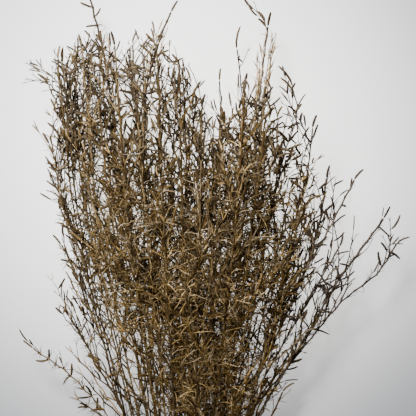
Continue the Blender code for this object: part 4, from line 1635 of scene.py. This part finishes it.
# %% The four plant finishes
GREYISH = [(0.010, 0.005, 0.001), (0.044, 0.031, 0.015), (0.158, 0.122, 0.078), (0.60, 0.50, 0.36)]
GOLDEN = [(0.013, 0.005, 0.0004), (0.082, 0.045, 0.006), (0.285, 0.176, 0.056), (0.74, 0.55, 0.30)]
WEATHERED = [(0.013, 0.008, 0.004), (0.060, 0.047, 0.037), (0.180, 0.150, 0.122), (0.58, 0.51, 0.43)]
BROWNS = (GREYISH, GOLDEN, WEATHERED)
PITH_BROWNS = [(0.35, 0.24, 0.12), (0.55, 0.42, 0.25), (0.68, 0.55, 0.36), (0.75, 0.64, 0.45)]

# In the order of BARK, POD_SKIN, LEAF_SKIN and PITH: name, ramps, how dense the fibres are in
# each direction, how dense the patches are, relief and roughness
skins = [
    plant_finish("dry_bark", BROWNS, (1500.0, 220.0, 1500.0), 120.0, 0.5, 0.7),
    plant_finish("pod_skin", BROWNS, (1400.0, 500.0, 1400.0), 260.0, 0.35, 0.55),
    plant_finish("dry_leaf", BROWNS, (1600.0, 320.0, 1600.0), 180.0, 0.4, 0.72),
    plant_finish("cut_pith", 3 * (PITH_BROWNS,), (2500.0, 2500.0, 2500.0), 400.0, 0.4, 0.85),
]
print("finishes:", [skin.name for skin in skins])

# %% [markdown]
# ## Every stem over its node
#
# Each stem of the frame is one mesh here as well, with all of its twigs, pods and leaves, so a
# reader of the frame finds one finished stem for each packed one. Joining everything into a
# single mesh would be quicker to draw, but then no stem could be moved or left out. The rule
# counts from the middle of the band and the frame from the middle of the bunch, so the points
# of each finished mesh are shifted, and the object itself stays at the origin.

# %% Dress every stem and put it over its node
LOWEST = 0.02 * MM
to_frame = Matrix.Translation((band_x, band_y, 0.0))
sprays = []
for stem in stems:
    whole = dress_stem(stem)
    bmesh.ops.transform(whole, matrix=to_frame, verts=whole.verts[:])
    for vertex in whole.verts:
        vertex.co.z = max(vertex.co.z, LOWEST)
    name = "spray_%02d" % stem.number
    mesh = bpy.data.meshes.new(name)
    whole.to_mesh(mesh)
    whole.free()
    for skin in skins:
        mesh.materials.append(skin)
    spray = into_scene(name, mesh)
    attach(spray, "root")
    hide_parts("stem_%02d" % stem.number)
    sprays.append(spray)
sizes = [sum(len(face.vertices) - 2 for face in spray.data.polygons) for spray in sprays]
print("sprays:", len(sprays), "triangles:", sum(sizes), "largest:", max(sizes))

# %% [markdown]
# ## The rubber band
#
# A rubber band round a bunch is one closed loop: here it goes round three times, side by side,
# and then crosses back over its own turns on top. Three separate rings would miss that crossing.
# The loop is a flat strip with rounded edges, so its cross section is an octagon, carried round
# the oval of the bundle and joined to its own start. Under the bunch the strip is pressed flat
# on the table.

# %% The path of the band
BAND_STRIP = 2.3 * MM
BAND_THICKNESS = 1.1 * MM
BAND_SIDES = 8
BAND_ROUNDING = 1.08
TURN_POINTS = 36
CROSSING_SHARE = 0.3


def band_place(turned):
    """Place across the turns and height over them, at a number of turns from the start."""
    half = 0.5 * (BAND_TURNS - 1) * BAND_STRIP
    start = BAND_TURNS - CROSSING_SHARE
    if turned < start:
        return -half + 2.0 * half * turned / start, 0.0
    share = (turned - start) / CROSSING_SHARE
    eased = share * share * (3.0 - 2.0 * share)
    return half - 2.0 * half * eased, BAND_THICKNESS * math.sin(math.pi * share)


def band_frame(turned):
    """A placing matrix for the cross section of the strip."""
    angle = math.tau * (turned + 0.5 * CROSSING_SHARE) + 0.5 * math.pi
    across, over = band_place(turned)
    reach = BAND_HOLE + 0.5 * BAND_THICKNESS + over
    out = Vector((math.cos(angle) / BUNDLE_OVAL, 0.0, math.sin(angle))).normalized()
    spot = Vector((BUNDLE_OVAL * reach * math.cos(angle), across,
                   BAND_AXIS_HEIGHT + reach * math.sin(angle)))
    along = Vector((0.0, 1.0, 0.0))
    turn = Matrix((along, out, along.cross(out))).transposed().to_4x4()
    size = Matrix.Diagonal((0.5 * BAND_STRIP, 0.5 * BAND_THICKNESS, 1.0, 1.0))
    flat_side = Matrix.Rotation(math.pi / BAND_SIDES, 4, "Z")
    return Matrix.Translation(spot) @ turn @ size @ flat_side


# %% Wind the band
count = BAND_TURNS * TURN_POINTS
frames = [band_frame(BAND_TURNS * k / count) for k in range(count)]
bm = bmesh.new()
bmesh.ops.create_circle(bm, segments=BAND_SIDES, radius=BAND_ROUNDING, matrix=frames[0])
first_rim = bm.edges[:]
last_rim, _ = carry_rim(bm, first_rim, frames)
bmesh.ops.bridge_loops(bm, edges=first_rim + last_rim)
bmesh.ops.recalc_face_normals(bm, faces=bm.faces[:])
bmesh.ops.transform(bm, matrix=to_frame, verts=bm.verts[:])
for vertex in bm.verts:
    vertex.co.z = max(vertex.co.z, 0.0)
for face in bm.faces:
    face.smooth = True
band_mesh = bpy.data.meshes.new("wound_band")
bm.to_mesh(band_mesh)
bm.free()
wound_band = into_scene("wound_band", band_mesh)
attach(wound_band, "root")
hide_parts("band")
print("band:", len(band_mesh.polygons), "faces")

# %% Amber rubber
# Dust lies on rubber in patches, so noise picks a colour between three ambers
AMBERS = [(0.30, 0.16, 0.05), (0.45, 0.27, 0.10), (0.55, 0.36, 0.16)]
RUBBER_ROUGHNESS = 0.55
DUST_DENSITY = 350.0

rubber, nodes, links, shader = new_finish("amber_rubber")
shader.inputs["Roughness"].default_value = RUBBER_ROUGHNESS
place = add_node(nodes, "TexCoord")
dust = add_node(nodes, "TexNoise", {"Scale": DUST_DENSITY})
amber = even_ramp(nodes, AMBERS)
wire(links, [
    (place.outputs["Object"], dust.inputs["Vector"]),
    (dust.outputs["Fac"], amber.inputs["Fac"]),
    (amber.outputs["Color"], shader.inputs["Base Color"]),
])
band_mesh.materials.append(rubber)
print("band finish:", rubber.name)

# %% [markdown]
# ## The table
#
# The real bunch lies on plain pale paper, brightest about the middle of the head and dimmer
# towards the edges, and the gaps among its stems stay light. Lamps alone leave those gaps grey,
# because the bunch shades its own table. So the sheet also glows, strongest and a little warm
# round one bright spot, and ever less away from it. This glow is painted light: a pool of light
# and a lift of the bunch's shadow, drawn into the paper, which is no lamp.

# %% Pale paper with a painted glow of light
TABLE_HALF = 12.0
PAPER_COLOUR = (0.20, 0.203, 0.212, 1.0)
PAPER_ROUGHNESS = 0.9
# Painted light: where the glow of the paper is brightest, how far it reaches, its strength near and
# far, and its warm tint
BRIGHTEST = (-0.02, 0.20, 0.0)
GLOW_REACH = (0.05, 0.38)
GLOW_NEAR, GLOW_FAR = 2.40, 0.08
WARMTH = [(1.0, 1.0, 1.0), (1.0, 0.97, 0.90)]

floor_mesh = bpy.data.meshes.new("table_top")
bm = bmesh.new()
bmesh.ops.create_grid(bm, x_segments=1, y_segments=1, size=TABLE_HALF)
bm.to_mesh(floor_mesh)
bm.free()
table_top = into_scene("table_top", floor_mesh)

paper, nodes, links, shader = new_finish("pale_paper_painted_glow")
shader.inputs["Base Color"].default_value = PAPER_COLOUR
shader.inputs["Roughness"].default_value = PAPER_ROUGHNESS
place = add_node(nodes, "TexCoord")
# Painted light: the paper glows most round BRIGHTEST, as a pool of light, and its glow lights the
# gaps that the bunch shades
from_bright = add_node(nodes, "VectorMath", {1: BRIGHTEST}, operation="DISTANCE")
nearness = add_node(nodes, "MapRange", {"From Min": GLOW_REACH[0], "From Max": GLOW_REACH[1],
                                        "To Min": 1.0, "To Max": 0.0},
                    interpolation_type="SMOOTHSTEP")
glow = add_node(nodes, "Math", {1: GLOW_NEAR - GLOW_FAR, 2: GLOW_FAR}, operation="MULTIPLY_ADD")
warmth = even_ramp(nodes, WARMTH)
wire(links, [
    (place.outputs["Object"], from_bright.inputs[0]),
    (from_bright.outputs["Value"], nearness.inputs["Value"]),
    (nearness.outputs["Result"], glow.inputs[0]),
    (glow.outputs["Value"], shader.inputs["Emission Strength"]),
    (nearness.outputs["Result"], warmth.inputs["Fac"]),
    (warmth.outputs["Color"], shader.inputs["Emission Color"]),
])
floor_mesh.materials.append(paper)
print("table:", table_top.name, "in", paper.name)

# %% [markdown]
# ## Light
#
# One soft light stands high beyond the left shoulder of the head and is narrow enough to fade
# towards the lower right, as the real light does. A weak, wide one above the middle and a faint
# pale sky fill the shadows. A single sun would draw hard shadows of every twig on the table.

# %% Lamps and sky
# Name, place, what it aims at, size, watts and spread
LAMPS = [
    ("key_light", (-0.42, 0.84, 1.10), (-0.14, 0.29, 0.0), 0.35, 12.2, math.radians(53.0)),
    ("fill_light", (-0.1, 0.5, 1.9), (-0.05, 0.15, 0.0), 0.9, 1.1, math.radians(120.0)),
]
SKY_COLOUR = (0.97, 0.98, 1.0, 1.0)
SKY_STRENGTH = 0.20

for name, place, aim, size, watts, spread in LAMPS:
    data = bpy.data.lights.new(name, "AREA")
    data.shape = "SQUARE"
    data.size = size
    data.energy = watts
    data.spread = spread
    lamp = into_scene(name, data)
    lamp.location = place
    lamp.rotation_euler = (Vector(aim) - Vector(place)).to_track_quat("-Z", "Y").to_euler()
sky = bpy.data.worlds.new("studio")
sky.use_nodes = True
sky.node_tree.nodes["Background"].inputs["Color"].default_value = SKY_COLOUR
sky.node_tree.nodes["Background"].inputs["Strength"].default_value = SKY_STRENGTH
bpy.context.scene.world = sky
print("lamps:", [lamp[0] for lamp in LAMPS])
